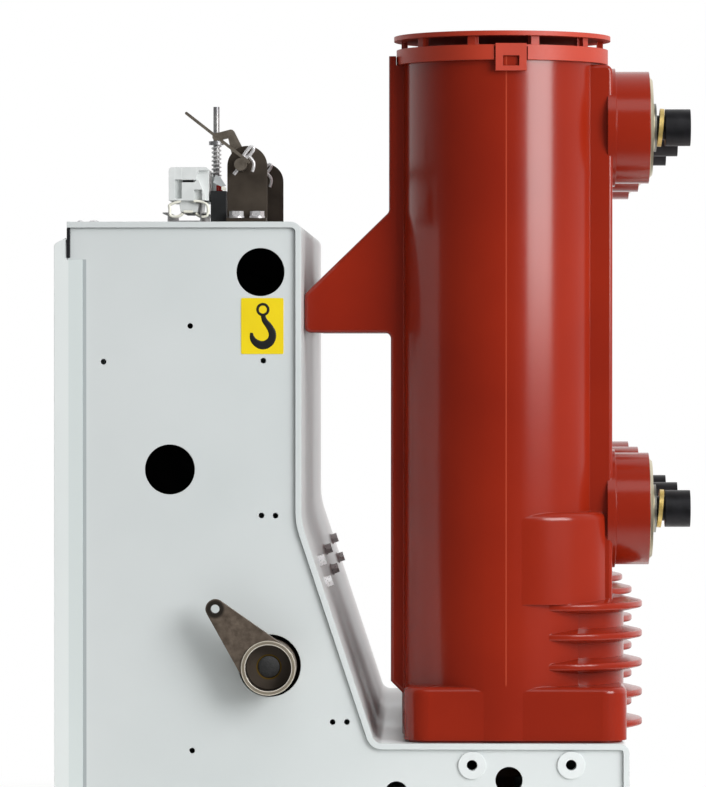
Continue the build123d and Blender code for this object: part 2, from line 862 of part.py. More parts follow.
def push_rod(y):
    """Insulating push rod with its contact spring in a cup and the slotted tongue below."""
    cup_low_z = shelf_z - rod_shed_r
    cup_top_z = stem_low_z - cup_drop
    top = stem_low_z - rod_t
    stud_z = rear_pin[1] + stud_rise
    turn_pitch = (cup_top_z - cup_low_z - 2 * fork_t) / push_turns
    with BuildPart() as rod:
        with BuildSketch(side_view(y)):
            with BuildLine():
                Polyline((pole_x, stud_z), (pole_x + tongue_r, stud_z),
                         (pole_x + tongue_r, cup_low_z), (pole_x + stem_cup_r, cup_low_z),
                         (pole_x + stem_cup_r, cup_low_z + fork_t), (pole_x, cup_low_z + fork_t), close=True)
            make_face()
            for step in range(push_turns):
                z = cup_low_z + fork_t + step * turn_pitch
                with BuildLine():
                    Polyline((pole_x, z), (pole_x + spring_cup_r - push_wire, z),
                             (pole_x + spring_cup_r, z + turn_pitch / 2),
                             (pole_x + spring_cup_r - push_wire, z + turn_pitch), (pole_x, z + turn_pitch),
                             close=True)
                make_face()
            with BuildLine():
                Polyline((pole_x, cup_top_z - fork_t), (pole_x + stem_cup_r, cup_top_z - fork_t),
                         (pole_x + stem_cup_r, top), (pole_x, top), close=True)
            make_face()
            for z in (cup_top_z + rod_shed_r / 2, top - rod_shed_r):
                with BuildLine():
                    Polyline((pole_x, z), (pole_x + stem_cup_r, z), (pole_x + rod_shed_r, z + rod_shed / 4),
                             (pole_x + rod_shed_r, z + rod_shed * 3 / 4), (pole_x + stem_cup_r, z + rod_shed),
                             (pole_x, z + rod_shed), close=True)
                make_face()
        revolve(axis=Axis((pole_x, y, 0), (0, 0, 1)))
        with BuildSketch(side_view(y)):
            with Locations((pole_x, rear_pin[1] - rocker_end_r)):
                Rectangle(2 * rocker_end_r, 3 * rocker_end_r, align=(Align.CENTER, Align.MIN))
            with Locations((pole_x - slot_play, rear_pin[1])):
                SlotCenterToCenter(slot_travel / 2, 2 * (pin_r + slot_play), mode=Mode.SUBTRACT)
        extrude(amount=rod_t / 2, both=True)
        with BuildSketch(Plane.XY.offset(top)):
            with Locations((pole_x, y)):
                Circle(stud_r + running_fit)
        extrude(amount=-stud_length, mode=Mode.SUBTRACT)
    return rod.part


def rocker(y):
    """Double-plate lever under the shelf that turns the pull rod's stroke into the push rod's."""
    with BuildPart() as lever:
        for side in (-1, 1):
            with BuildSketch(side_view(y + side * fork_half)):
                add(lever_face((*front_pin, rocker_end_r), (rocker_x, rocker_z, rocker_hub_r)))
                add(lever_face((*rear_pin, rocker_end_r), (rocker_x, rocker_z, rocker_hub_r)))
            extrude(amount=-side * fork_t)
        with BuildSketch(side_view(y)):
            with Locations((rocker_x, rocker_z)):
                Circle(rocker_hub_r)
            with Locations(front_pin, rear_pin):
                Circle(pin_r)
        extrude(amount=fork_half + fork_t, both=True)
        with BuildSketch(side_view(y)):
            with Locations((rocker_x, rocker_z)):
                Circle(axle_r + running_fit)
        extrude(amount=fork_half + fork_t, both=True, mode=Mode.SUBTRACT)
    return lever.part


def pull_rod(y):
    """Flat rod from a crank of the main shaft down to a rocker; its lower eye is a slot."""
    with BuildPart() as rod:
        with BuildSketch(side_view(y)):
            with Locations((crank_pin[0], (crank_pin[1] + front_pin[1]) / 2)):
                Rectangle(rod_width, crank_pin[1] - front_pin[1])
            with Locations(crank_pin, (crank_pin[0], front_pin[1])):
                Circle(eye_r)
            with Locations((crank_pin[0], front_pin[1])):
                SlotOverall(2 * eye_r + slot_travel, 2 * eye_r)
            with Locations(crank_pin):
                Circle(pin_r + running_fit, mode=Mode.SUBTRACT)
            with Locations((crank_pin[0] + slot_play, front_pin[1])):
                SlotCenterToCenter(slot_travel, 2 * (pin_r + slot_play), mode=Mode.SUBTRACT)
        extrude(amount=rod_t / 2, both=True)
    return rod.part


for name, y in pole_places.items():
    pieces = {
        "pole": pole_housing(y),
        "cap": pole_cap(y),
        "interrupter": interrupter(y),
        "upper_terminal": terminal(y, upper_terminal_z, fixed_stem_r + seam),
        "lower_terminal": terminal(y, lower_terminal_z, stem_r + running_fit),
        "moving_stem": moving_stem(y),
        "push_rod": push_rod(y),
        "rocker": rocker(y),
        "pull_rod": pull_rod(y),
    }
    for kind, piece in pieces.items():
        piece.label = f"{kind}_{name}"
        export_step(piece, f"parts/{kind}_{name}.step")

# Cap screws of the six terminals
seat_x = boss_x + contact_disc + seat_t
with BuildPart() as terminal_screws:
    for y in pole_places.values():
        for z in (upper_terminal_z, lower_terminal_z):
            with BuildSketch(Plane.YZ.offset(seat_x + washer_gap)):
                with Locations((y, z)):
                    Circle(screw_head_r)
            extrude(amount=screw_head)
            with BuildSketch(Plane.YZ.offset(seat_x + washer_gap)):
                with Locations((y, z)):
                    Circle(screw_r)
            extrude(amount=-(washer_gap + screw_reach - pin_r))
            with BuildSketch(Plane.YZ.offset(seat_x + washer_gap + screw_head)):
                with Locations((y, z)):
                    RegularPolygon(screw_socket_r, 6)
            extrude(amount=-screw_socket_depth, mode=Mode.SUBTRACT)
terminal_screws.part.label = "terminal_screws"
export_step(terminal_screws.part, "parts/terminal_screws.step")

# Split spring washers under the screw heads, each a little twisted as when loose
with BuildPart() as terminal_washers:
    for y in pole_places.values():
        for z in (upper_terminal_z, lower_terminal_z):
            tilt = math.radians(washer_tilt)
            lean = Plane(origin=(seat_x + washer_gap / 2, y, z), x_dir=(0, 1, 0),
                         z_dir=(math.cos(tilt), 0, -math.sin(tilt)))
            with BuildSketch(lean):
                Circle(washer_r)
                Circle(screw_r + 2 * seam, mode=Mode.SUBTRACT)
                with Locations((0, washer_r)):
                    Rectangle(washer_t / 2, washer_r, mode=Mode.SUBTRACT)
            extrude(amount=washer_t / 2, both=True)
terminal_washers.part.label = "terminal_washers"
export_step(terminal_washers.part, "parts/terminal_washers.step")

# Fixed axle of the three rockers
with BuildPart() as rocker_axle:
    with BuildSketch(Plane.XZ):
        with Locations((rocker_x, rocker_z)):
            Circle(axle_r)
    extrude(amount=plate_outer, both=True)
rocker_axle.part.label = "rocker_axle"
export_step(rocker_axle.part, "parts/rocker_axle.step")

# Main shaft: a tube with the hand lever, three cranks, the closing roller, the latch arm and the spring arm
swing = 2 * crank_swing
latch_reach = math.hypot(half_shaft_x - shaft_x, trip_z - shaft_z) - half_shaft_r - 2 * seam
latch_angle = math.degrees(math.atan2(trip_z - shaft_z, half_shaft_x - shaft_x)) + swing
collar = shaft_r + cheek_t
hand_eye = turned(shaft_x, shaft_z, hand_arm, hand_angle)
with BuildPart() as main_shaft:
    with BuildSketch(side_view(shaft_near_y)):
        with Locations((shaft_x, shaft_z)):
            Circle(shaft_r)
    extrude(amount=shaft_near_y - shaft_far_y)
    with BuildSketch(side_view(shaft_near_y + hand_set_back)):
        add(lever_face((shaft_x, shaft_z, shaft_r), (*hand_eye, hand_eye_r)))
        with Locations(hand_eye):
            Circle(hand_hole_r, mode=Mode.SUBTRACT)
    extrude(amount=-hand_t)
    for y in pole_places.values():
        for side in (-1, 1):
            with BuildSketch(side_view(y + side * fork_half)):
                add(lever_face((shaft_x, shaft_z, collar), (*crank_pin, eye_r)))
            extrude(amount=-side * fork_t)
        with BuildSketch(side_view(y)):
            with Locations(crank_pin):
                Circle(pin_r)
        extrude(amount=fork_half + fork_t, both=True)
    for side in (-1, 1):
        with BuildSketch(side_view(cam_y + side * (cam_t / 2 + roller_play))):
            add(lever_face((shaft_x, shaft_z, collar), (*roller, finger_r + cheek_t)))
        extrude(amount=-side * cheek_t)
    with BuildSketch(side_view(cam_y)):
        with Locations(roller):
            Circle(pin_r)
    extrude(amount=cam_t / 2 + roller_play + cheek_t, both=True)
    with BuildSketch(side_view(cam_y)):
        with Locations(roller):
            Circle(roller_r)
    extrude(amount=cam_t / 2 - roller_play, both=True)
    with BuildSketch(side_view(latch_y)):
        add(lever_face((shaft_x, shaft_z, collar),
                       (*turned(shaft_x, shaft_z, latch_reach - latch_t, latch_angle), latch_t)))
    extrude(amount=latch_t / 2, both=True)
    with BuildSketch(side_view(opening_lever_y)):
        add(lever_face((shaft_x, shaft_z, collar), (*opening_pin, eye_r)))
    extrude(amount=-fork_t)
    with BuildSketch(side_view(opening_lever_y)):
        with Locations(opening_pin):
            Circle(pin_r)
    extrude(amount=-(opening_y - opening_lever_y + pin_r))
    with BuildSketch(side_view(shaft_near_y)):
        with Locations((shaft_x, shaft_z)):
            Circle(shaft_bore_r)
    extrude(amount=-plug_depth, mode=Mode.SUBTRACT)
    with BuildSketch(side_view(shaft_near_y + plug_depth)):
        with Locations((shaft_x, shaft_z)):
            Circle(plug_hole_r)
    extrude(amount=-plug_t, mode=Mode.SUBTRACT)
    with BuildSketch(side_view(shaft_near_y + plug_depth + plug_t)):
        with Locations((shaft_x, shaft_z)):
            Circle(shaft_bore_r)
    extrude(amount=shaft_near_y + plug_depth + plug_t - shaft_far_y, mode=Mode.SUBTRACT)
main_shaft.part.label = "main_shaft"
export_step(main_shaft.part, "parts/main_shaft.step")

# Hangers bolted inside the slope, one beside each pole's crank
bolt_z = sum(slope_bolt_zs) / len(slope_bolt_zs)
foot_rise = hanger_foot / 2 * math.cos(slope_angle)
with BuildPart() as bearing_hangers:
    for y in pole_places.values():
        web_y = y + fork_half + fork_t + eye_r / 2
        with BuildSketch(side_view(web_y)):
            add(lever_face((shaft_x, shaft_z, hanger_boss_r),
                           (*slope_point(bolt_z - foot_rise / 2, wall + seam + hanger_t), hanger_t),
                           (*slope_point(bolt_z + foot_rise / 2, wall + seam + hanger_t), hanger_t)))
        extrude(amount=-hanger_t)
        with BuildSketch(side_view(web_y + hanger_t)):
            with BuildLine():
                Polyline(slope_point(bolt_z - foot_rise, wall + seam),
                         slope_point(bolt_z + foot_rise, wall + seam),
                         slope_point(bolt_z + foot_rise, wall + seam + hanger_t),
                         slope_point(bolt_z - foot_rise, wall + seam + hanger_t), close=True)
            make_face()
        extrude(amount=web_y + hanger_t - y + fork_half + fork_t)
        with BuildSketch(side_view(web_y)):
            with Locations((shaft_x, shaft_z)):
                Circle(shaft_r + running_fit)
        extrude(amount=-hanger_t, mode=Mode.SUBTRACT)
        for z in slope_bolt_zs:
            with BuildSketch(slope_plane(y, z, wall)):
                Circle(slope_bore)
            extrude(amount=-2 * hanger_t, mode=Mode.SUBTRACT)
bearing_hangers.part.label = "bearing_hangers"
export_step(bearing_hangers.part, "parts/bearing_hangers.step")

# Hexagon bolts with washers that hold the hangers to the slope
with BuildPart() as slope_bolts:
    for y in pole_places.values():
        for z in slope_bolt_zs:
            face = slope_plane(y, z, 0)
            with BuildSketch(face):
                Circle(slope_washer_r)
            extrude(amount=slope_washer)
            with BuildSketch(face.offset(slope_washer)):
                RegularPolygon(slope_bolt_flats / 2, 6, major_radius=False)
            extrude(amount=slope_bolt_head)
            with BuildSketch(face):
                Circle(slope_bolt_r)
            extrude(amount=-(wall + seam + hanger_t))
slope_bolts.part.label = "slope_bolts"
export_step(slope_bolts.part, "parts/slope_bolts.step")

# Welded frame of the spring mechanism: two plates with ears up to the top wall, four tie rods, feet, studs
# and the spring's anchor pin
with BuildPart() as mechanism_frame:
    for side in (-1, 1):
        with BuildSketch(side_view(side * mech_half)):
            with BuildLine():
                FilletPolyline((mech_front_x, base_t), (mech_front_x, mech_top_z), (mech_rear_x, mech_top_z),
                               (mech_rear_x, base_t), radius=tie_inset, close=False)
                Line((mech_rear_x, base_t), (mech_front_x, base_t))
            make_face()
            with BuildLine():
                Polyline((rise_front_x, rise_low_z), (mech_rear_x, rise_low_z), (mech_rear_x, mech_top_z),
                         (rise_rear_x, rise_bend_z), (rise_rear_x, top_z - wall - seam),
                         (rise_front_x, top_z - wall - seam), close=True)
            make_face()
            with Locations((cam_x, cam_z)):
                Circle(cam_shaft_r + running_fit, mode=Mode.SUBTRACT)
            with Locations((half_shaft_x, trip_z), (half_shaft_x, close_z)):
                Circle(half_shaft_r + running_fit, mode=Mode.SUBTRACT)
        extrude(amount=-side * mech_t)
        with BuildSketch(Plane.XY.offset(base_t)):
            with Locations(((mech_front_x + mech_rear_x) / 2, side * (mech_half + (mech_t + mech_foot) / 2))):
                Rectangle(mech_rear_x - mech_front_x, mech_t + mech_foot)
        extrude(amount=mech_t)
    with BuildSketch(Plane.XZ):
        for x in (mech_front_x + tie_inset, mech_rear_x - tie_inset):
            for z in (base_t + 2 * tie_inset, mech_top_z - tie_inset):
                with Locations((x, z)):
                    Circle(tie_r)
    extrude(amount=mech_half, both=True)
    with BuildSketch(side_view(mech_half)):
        with Locations((flag_x, position_z)):
            Circle(flag_stud_r)
    extrude(amount=-(flag_y + flag_width / 2 - mech_half))
    with BuildSketch(side_view(-mech_half)):
        with Locations((flag_x, charge_z)):
            Circle(flag_stud_r)
    extrude(amount=flag_y + flag_width / 2 - mech_half)
    with BuildSketch(side_view(mech_half)):
        with Locations((cam_x, anchor_z)):
            Circle(spring_pin_r)
    extrude(amount=-(spring_y + spring_pin_r - mech_half))
mechanism_frame.part.label = "mechanism_frame"
export_step(mechanism_frame.part, "parts/mechanism_frame.step")


def cam_radius(share):
    """Radius of the closing cam at a share of its rise, counted from the drop."""
    return cam_low_r + (cam_high_r - cam_low_r) * (1 + math.cos(math.pi * share)) / 2


# Charging shaft with the closing cam, the stop arm and the crank of the closing spring
stop_angle = math.degrees(math.atan2(close_z - cam_z, half_shaft_x - cam_x)) + 180
with BuildPart() as charging_shaft:
    with BuildSketch(side_view(-mech_half - mech_t - gearbox_depth + base_t)):
        with Locations((cam_x, cam_z)):
            Circle(cam_shaft_r)
    extrude(amount=-(mech_half + mech_t + gearbox_depth - base_t + crank_plate_y + crank_plate_t))
    with BuildSketch(side_view(cam_y)):
        with BuildLine():
            Spline(*[turned(cam_x, cam_z, cam_radius(share), cam_start + cam_span * share)
                     for share in (step / cam_steps for step in range(cam_steps + 1))])
            CenterArc((cam_x, cam_z), cam_low_r, cam_start + cam_span, 360 - cam_span)
            Line(turned(cam_x, cam_z, cam_low_r, cam_start), turned(cam_x, cam_z, cam_high_r, cam_start))
        make_face()
    extrude(amount=cam_t / 2, both=True)
    with BuildSketch(side_view(stop_y)):
        add(lever_face((cam_x, cam_z, cam_shaft_r + finger_r),
                       (*turned(cam_x, cam_z, stop_arm - latch_t, stop_angle), latch_t)))
    extrude(amount=latch_t / 2, both=True)
    with BuildSketch(side_view(crank_plate_y)):
        add(lever_face((cam_x, cam_z, cam_shaft_r + latch_t), (cam_x, cam_z - spring_crank_r, eye_r)))
    extrude(amount=-crank_plate_t)
    with BuildSketch(side_view(crank_plate_y)):
        with Locations((cam_x, cam_z - spring_crank_r)):
            Circle(spring_pin_r)
    extrude(amount=-(spring_y + spring_pin_r - crank_plate_y))
charging_shaft.part.label = "charging_shaft"
export_step(charging_shaft.part, "parts/charging_shaft.step")


def tension_spring(x, y, low_z, high_z, coil_r, wire_r, turns, pin):
    """Close-wound tension spring between two pins: coil and screwed-in end plugs with eyes."""
    plug_r = coil_r - wire_r + seam / 2
    eye_out_r = pin + seam + wire_r
    coil_low_z = low_z + eye_out_r + wire_r
    coil_high_z = high_z - eye_out_r - wire_r
    with BuildPart() as spring:
        with BuildLine(Plane(origin=(x, y, coil_low_z))):
            length = coil_high_z - coil_low_z
            coil = Helix(pitch=length / turns, height=length, radius=coil_r)
        with BuildSketch(Plane(origin=coil @ 0, z_dir=coil % 0)):
            Circle(wire_r)
        sweep(path=coil, is_frenet=True)
        for pin_z, side in ((low_z, 1), (high_z, -1)):
            with BuildSketch(Plane.XY.offset(pin_z + side * (eye_out_r - wire_r / 2))):
                with Locations((x, y)):
                    Circle(plug_r)
            extrude(amount=side * (3 * wire_r + coil_r / 2))
            with BuildSketch(side_view(y)):
                with Locations((x, pin_z)):
                    Circle(eye_out_r)
                    Circle(pin + seam, mode=Mode.SUBTRACT)
            extrude(amount=2 * wire_r / 3, both=True)
    return spring.part


closing_spring = tension_spring(cam_x, spring_y, anchor_z, cam_z - spring_crank_r, closing_coil_r,
                                closing_wire_r, closing_turns, spring_pin_r)
closing_spring.label = "closing_spring"
export_step(closing_spring, "parts/closing_spring.step")

opening_spring = tension_spring(opening_pin[0], opening_y, opening_anchor_z, opening_pin[1], opening_coil_r,
                                opening_wire_r, opening_turns, pin_r)
opening_spring.label = "opening_spring"
export_step(opening_spring, "parts/opening_spring.step")

# Worm gear motor on the near plate, with the guide tube of the hand crank
gearbox_y = -mech_half - mech_t - seam
with BuildPart() as gear_motor:
    with BuildSketch(side_view(gearbox_y)):
        with Locations(((gearbox_front_x + gearbox_rear_x) / 2, (gearbox_low_z + gearbox_high_z) / 2)):
            RectangleRounded(gearbox_rear_x - gearbox_front_x, gearbox_high_z - gearbox_low_z, eye_r)
    extrude(amount=gearbox_depth)
    with BuildSketch(Plane.XY.offset(motor_low_z)):
        with Locations((motor_x, gearbox_y - gearbox_depth / 2)):
            Circle(motor_r)
    extrude(amount=gearbox_low_z - motor_low_z + eye_r)
    with BuildSketch(Plane.YZ.offset(crank_tube_x)):
        with Locations((gearbox_y - gearbox_depth / 2, crank_tube_z)):
            Circle(crank_tube_r)
    extrude(amount=gearbox_front_x - crank_tube_x + eye_r)
    with BuildSketch(Plane.YZ.offset(crank_tube_x)):
        with Locations((gearbox_y - gearbox_depth / 2, crank_tube_z)):
            Circle(crank_bore_r)
    extrude(amount=crank_bore_depth, mode=Mode.SUBTRACT)
    with BuildSketch(side_view(gearbox_y)):
        with Locations((cam_x, cam_z)):
            Circle(cam_shaft_r + running_fit)
    extrude(amount=gearbox_depth, mode=Mode.SUBTRACT)
gear_motor.part.label = "gear_motor"
export_step(gear_motor.part, "parts/gear_motor.step")


def half_shaft(z):
    """Release shaft across the mechanism, with a paddle for its button and one for its coil."""
    with BuildPart() as shaft:
        with BuildSketch(Plane.XZ):
            with Locations((half_shaft_x, z)):
                Circle(half_shaft_r)
        extrude(amount=crank_plate_y, both=True)
        for y, side in ((button_y, 1), (coil_paddle_y, -1)):
            with BuildSketch(side_view(y)):
                with Locations((half_shaft_x, z + side * paddle_reach / 2)):
                    Rectangle(paddle_t, paddle_reach)
            extrude(amount=paddle_width / 2, both=True)
    return shaft.part


trip_shaft = half_shaft(trip_z)
trip_shaft.label = "trip_shaft"
export_step(trip_shaft, "parts/trip_shaft.step")

close_shaft = half_shaft(close_z)
close_shaft.label = "close_shaft"
export_step(close_shaft, "parts/close_shaft.step")

# Opening and closing release coils on the far plate, behind the lower paddles
coil_x = half_shaft_x + paddle_t / 2 + coil_gap
with BuildPart() as release_coils:
    for z in (trip_z - press_height, close_z - press_height):
        with BuildSketch(Plane.YZ.offset(coil_x)):
            with Locations((coil_paddle_y, z)):
                Circle(coil_r)
                Rectangle(mech_half - seam - coil_paddle_y, 2 * coil_r, align=(Align.MIN, Align.CENTER))
        extrude(amount=coil_length)
release_coils.part.label = "release_coils"
export_step(release_coils.part, "parts/release_coils.step")


def push_button(z):
    """Button flush with the cover, its flange behind the sheet and its stem up to the paddle."""
    stem_end = half_shaft_x - paddle_t / 2 - press_gap
    with BuildPart() as button:
        with BuildSketch(Plane.YZ.offset(cover_x)):
            with Locations((button_y, z)):
                Circle(button_r)
        extrude(amount=button_cap)
        with BuildSketch(Plane.YZ.offset(cover_x + cover_t + seam)):
            with Locations((button_y, z)):
                Circle(button_flange_r)
        extrude(amount=cover_t)
        with BuildSketch(Plane.YZ.offset(cover_x)):
            with Locations((button_y, z)):
                Circle(button_stem_r)
        extrude(amount=stem_end - cover_x)
    return button.part


open_button = push_button(trip_z + press_height)
open_button.label = "open_button"
export_step(open_button, "parts/open_button.step")

close_button = push_button(close_z + press_height)
close_button.label = "close_button"
export_step(close_button, "parts/close_button.step")


def indicator(z, side, lean):
    """Curved flag on a hub that swings behind its window."""
    inner_y = side * (flag_y - flag_width / 2)
    start = 180 + lean - flag_span / 2
    with BuildPart() as flag:
        with BuildSketch(side_view(inner_y)):
            with BuildLine():
                Line((flag_x, z), turned(flag_x, z, flag_r, start))
                CenterArc((flag_x, z), flag_r, start, flag_span)
                Line(turned(flag_x, z, flag_r, start + flag_span), (flag_x, z))
            make_face()
            with Locations((flag_x, z)):
                Circle(flag_hub_r)
        extrude(amount=-side * flag_t)
        with BuildSketch(side_view(inner_y)):
            with BuildLine():
                CenterArc((flag_x, z), flag_r, start, flag_span)
                Line(turned(flag_x, z, flag_r, start + flag_span),
                     turned(flag_x, z, flag_r - flag_t, start + flag_span))
                CenterArc((flag_x, z), flag_r - flag_t, start + flag_span, -flag_span)
                Line(turned(flag_x, z, flag_r - flag_t, start), turned(flag_x, z, flag_r, start))
            make_face()
        extrude(amount=-side * flag_width)
        with BuildSketch(side_view(inner_y)):
            with Locations((flag_x, z)):
                Circle(flag_hub_r)
        extrude(amount=-side * flag_width / 2)
        with BuildSketch(side_view(inner_y)):
            with Locations((flag_x, z)):
                Circle(flag_stud_r + running_fit)
        extrude(amount=-side * flag_width / 2, mode=Mode.SUBTRACT)
    return flag.part


position_indicator = indicator(position_z, 1, flag_lean)
position_indicator.label = "position_indicator"
export_step(position_indicator, "parts/position_indicator.step")

spring_indicator = indicator(charge_z, -1, -flag_lean)
spring_indicator.label = "spring_indicator"
export_step(spring_indicator, "parts/spring_indicator.step")

# Auxiliary switch block round the far end of the main shaft
with BuildPart() as aux_switch:
    with BuildSketch(side_view(aux_near_y)):
        with Locations((shaft_x, shaft_z)):
            RectangleRounded(2 * aux_half, 2 * aux_half, finger_r)
            Circle(shaft_r + running_fit, mode=Mode.SUBTRACT)
    extrude(amount=-(plate_inner - seam - aux_near_y))
aux_switch.part.label = "aux_switch"
export_step(aux_switch.part, "parts/aux_switch.step")


def ear_plate(y):
    """Round-topped bracket with a bolted foot towards the near side."""
    ear_r = ear_width / 2
    with BuildPart() as ear:
        with BuildSketch(side_view(y)):
            with Locations((ear_x, top_z)):
                Rectangle(ear_width, ear_height - ear_r, align=(Align.CENTER, Align.MIN))
            with Locations((ear_x, top_z + ear_height - ear_r)):
                Circle(ear_r)
            with Locations((cross_x, cross_z)):
                Circle(cross_r + running_fit, mode=Mode.SUBTRACT)
        extrude(amount=ear_t)
        with BuildSketch(Plane.XY.offset(top_z)):
            with Locations((ear_x, y)):
                Rectangle(ear_width, ear_t + ear_foot, align=(Align.CENTER, Align.MAX))
            with Locations((ear_x, y - ear_t - ear_foot / 2)):
                with GridLocations(ear_bolt_pitch, 1, 2, 1):
                    Circle(ear_bolt_r, mode=Mode.SUBTRACT)
        extrude(amount=ear_t)
    return ear.part


shaft_brackets = Compound(children=[ear_plate(ear_near_y), ear_plate(ear_far_y)])
shaft_brackets.label = "shaft_brackets"
export_step(shaft_brackets, "parts/shaft_brackets.step")

# Hexagon bolts of the two brackets
with BuildPart() as bracket_bolts:
    for ear_y in (ear_near_y, ear_far_y):
        for side in (-1, 1):
            spot = (ear_x + side * ear_bolt_pitch / 2, ear_y - ear_t - ear_foot / 2)
            with BuildSketch(Plane.XY.offset(top_z + ear_t)):
                with Locations(spot):
                    Circle(bracket_washer_r)
            extrude(amount=bracket_washer)
            with BuildSketch(Plane.XY.offset(top_z + ear_t + bracket_washer)):
                with Locations(spot):
                    RegularPolygon(bracket_bolt_flats / 2, 6, major_radius=False)
            extrude(amount=bracket_bolt_head)
            with BuildSketch(Plane.XY.offset(top_z + ear_t)):
                with Locations(spot):
                    Circle(bracket_bolt_r)
            extrude(amount=-(ear_t + wall + bracket_bolt_r))
bracket_bolts.part.label = "bracket_bolts"
export_step(bracket_bolts.part, "parts/bracket_bolts.step")

# Cross shaft of the interlock, with the thin hand needle and the finger that presses the plunger
needle_y = ear_near_y - ear_t - ear_foot + base_t
needle_root = turned(cross_x, cross_z, needle_offset, needle_angle - 90)
with BuildPart() as interlock_shaft:
    with BuildSketch(side_view(needle_y)):
        with Locations((cross_x, cross_z)):
            Circle(cross_r)
    extrude(amount=needle_y - ear_far_y - eye_r)
    with BuildSketch(side_view(needle_y)):
        add(lever_face((*turned(*needle_root, needle_back, needle_angle + 180), needle_width / 2),
                       (*turned(*needle_root, needle_reach, needle_angle), needle_width / 2)))
    extrude(amount=-needle_t)
    for side in (-1, 1):
        with BuildSketch(side_view(plunger_y + side * (plunger_r + 2 * seam))):
            add(lever_face((cross_x, cross_z, cross_r + finger_t / 2), (*finger_knee, finger_r)))
            add(lever_face((*finger_knee, finger_r), (*finger_tip, finger_r)))
        extrude(amount=-side * finger_t)
interlock_shaft.part.label = "interlock_shaft"
export_step(interlock_shaft.part, "parts/interlock_shaft.step")

# Sprung plunger that passes the interlock's motion into the housing
collar_top_z = finger_tip[1] - finger_r - seam
with BuildPart() as plunger_bar:
    with BuildSketch(Plane.XY.offset(plunger_low_z)):
        with Locations((plunger_x, plunger_y)):
            Circle(plunger_r)
    extrude(amount=plunger_top_z - plunger_low_z)
    with BuildSketch(Plane.XY.offset(collar_top_z - collar_t)):
        with Locations((plunger_x, plunger_y)):
            Circle(collar_r)
    extrude(amount=collar_t)
plunger_bar.part.label = "plunger_bar"
export_step(plunger_bar.part, "parts/plunger_bar.step")

with BuildPart() as plunger_spring:
    coil_low_z = guide_top_z + seam + return_wire_r
    coil_high_z = collar_top_z - collar_t - seam - return_wire_r
    with BuildLine(Plane(origin=(plunger_x, plunger_y, coil_low_z))):
        winding = Helix(pitch=(coil_high_z - coil_low_z) / return_turns, height=coil_high_z - coil_low_z,
                        radius=return_coil_r)
    with BuildSketch(Plane(origin=winding @ 0, z_dir=winding % 0)):
        Circle(return_wire_r)
    sweep(path=winding, is_frenet=True)
plunger_spring.part.label = "plunger_spring"
export_step(plunger_spring.part, "parts/plunger_spring.step")

# Top-hat rail for the control terminals
with BuildPart() as terminal_rail:
    with BuildSketch(side_view(rail_near_y)):
        with Locations((rail_x, top_z)):
            Rectangle(rail_base, rail_t, align=(Align.CENTER, Align.MIN))
        for side in (-1, 1):
            with Locations((rail_x + side * (rail_base - rail_t) / 2, top_z)):
                Rectangle(rail_t, rail_height, align=(Align.CENTER, Align.MIN))
            with Locations((rail_x + side * (rail_width + rail_base - 2 * rail_t) / 4, top_z + rail_height)):
                Rectangle((rail_width - rail_base + 2 * rail_t) / 2, rail_t, align=(Align.CENTER, Align.MAX))
    extrude(amount=rail_near_y - rail_far_y)
terminal_rail.part.label = "terminal_rail"
export_step(terminal_rail.part, "parts/terminal_rail.step")

# Row of clip-on terminals
blocks = []
block_low_z = top_z + rail_height + seam
for step in range(block_count):
    with BuildPart() as block:
        with BuildSketch(side_view(rail_near_y + base_t + step * block_pitch)):
            with BuildLine():
                Polyline((block_x - block_width / 2, block_low_z),
                         (block_x - block_width / 2, block_low_z + block_height),
                         (block_x + block_width / 2 - block_slope[0], block_low_z + block_height),
                         (block_x + block_width / 2, block_low_z + block_height - block_slope[1]),
                         (block_x + block_width / 2, block_low_z), close=True)
            make_face()
        extrude(amount=-(block_pitch - block_gap))
    blocks.append(block.part)
terminal_block = Compound(children=blocks)
terminal_block.label = "terminal_block"
export_step(terminal_block, "parts/terminal_block.step")

# Signalling switch beside the near bracket and its red button
with BuildPart() as signal_switch:
    with BuildSketch(Plane.XY.offset(top_z)):
        with Locations((switch_x, switch_y)):
            Rectangle(switch_width, switch_depth)
    extrude(amount=switch_height)
    with BuildSketch(Plane.XY.offset(top_z + switch_height)):
        with Locations((switch_x, switch_y)):
            Circle(switch_button_r + running_fit)
    extrude(amount=-switch_height / 2, mode=Mode.SUBTRACT)
signal_switch.part.label = "signal_switch"
export_step(signal_switch.part, "parts/signal_switch.step")

with BuildPart() as switch_button:
    with BuildSketch(Plane.XY.offset(top_z + switch_height / 2 + base_t)):
        with Locations((switch_x, switch_y)):
            Circle(switch_button_r)
    extrude(amount=switch_height / 2 - base_t + switch_button_rise)
switch_button.part.label = "switch_button"
export_step(switch_button.part, "parts/switch_button.step")
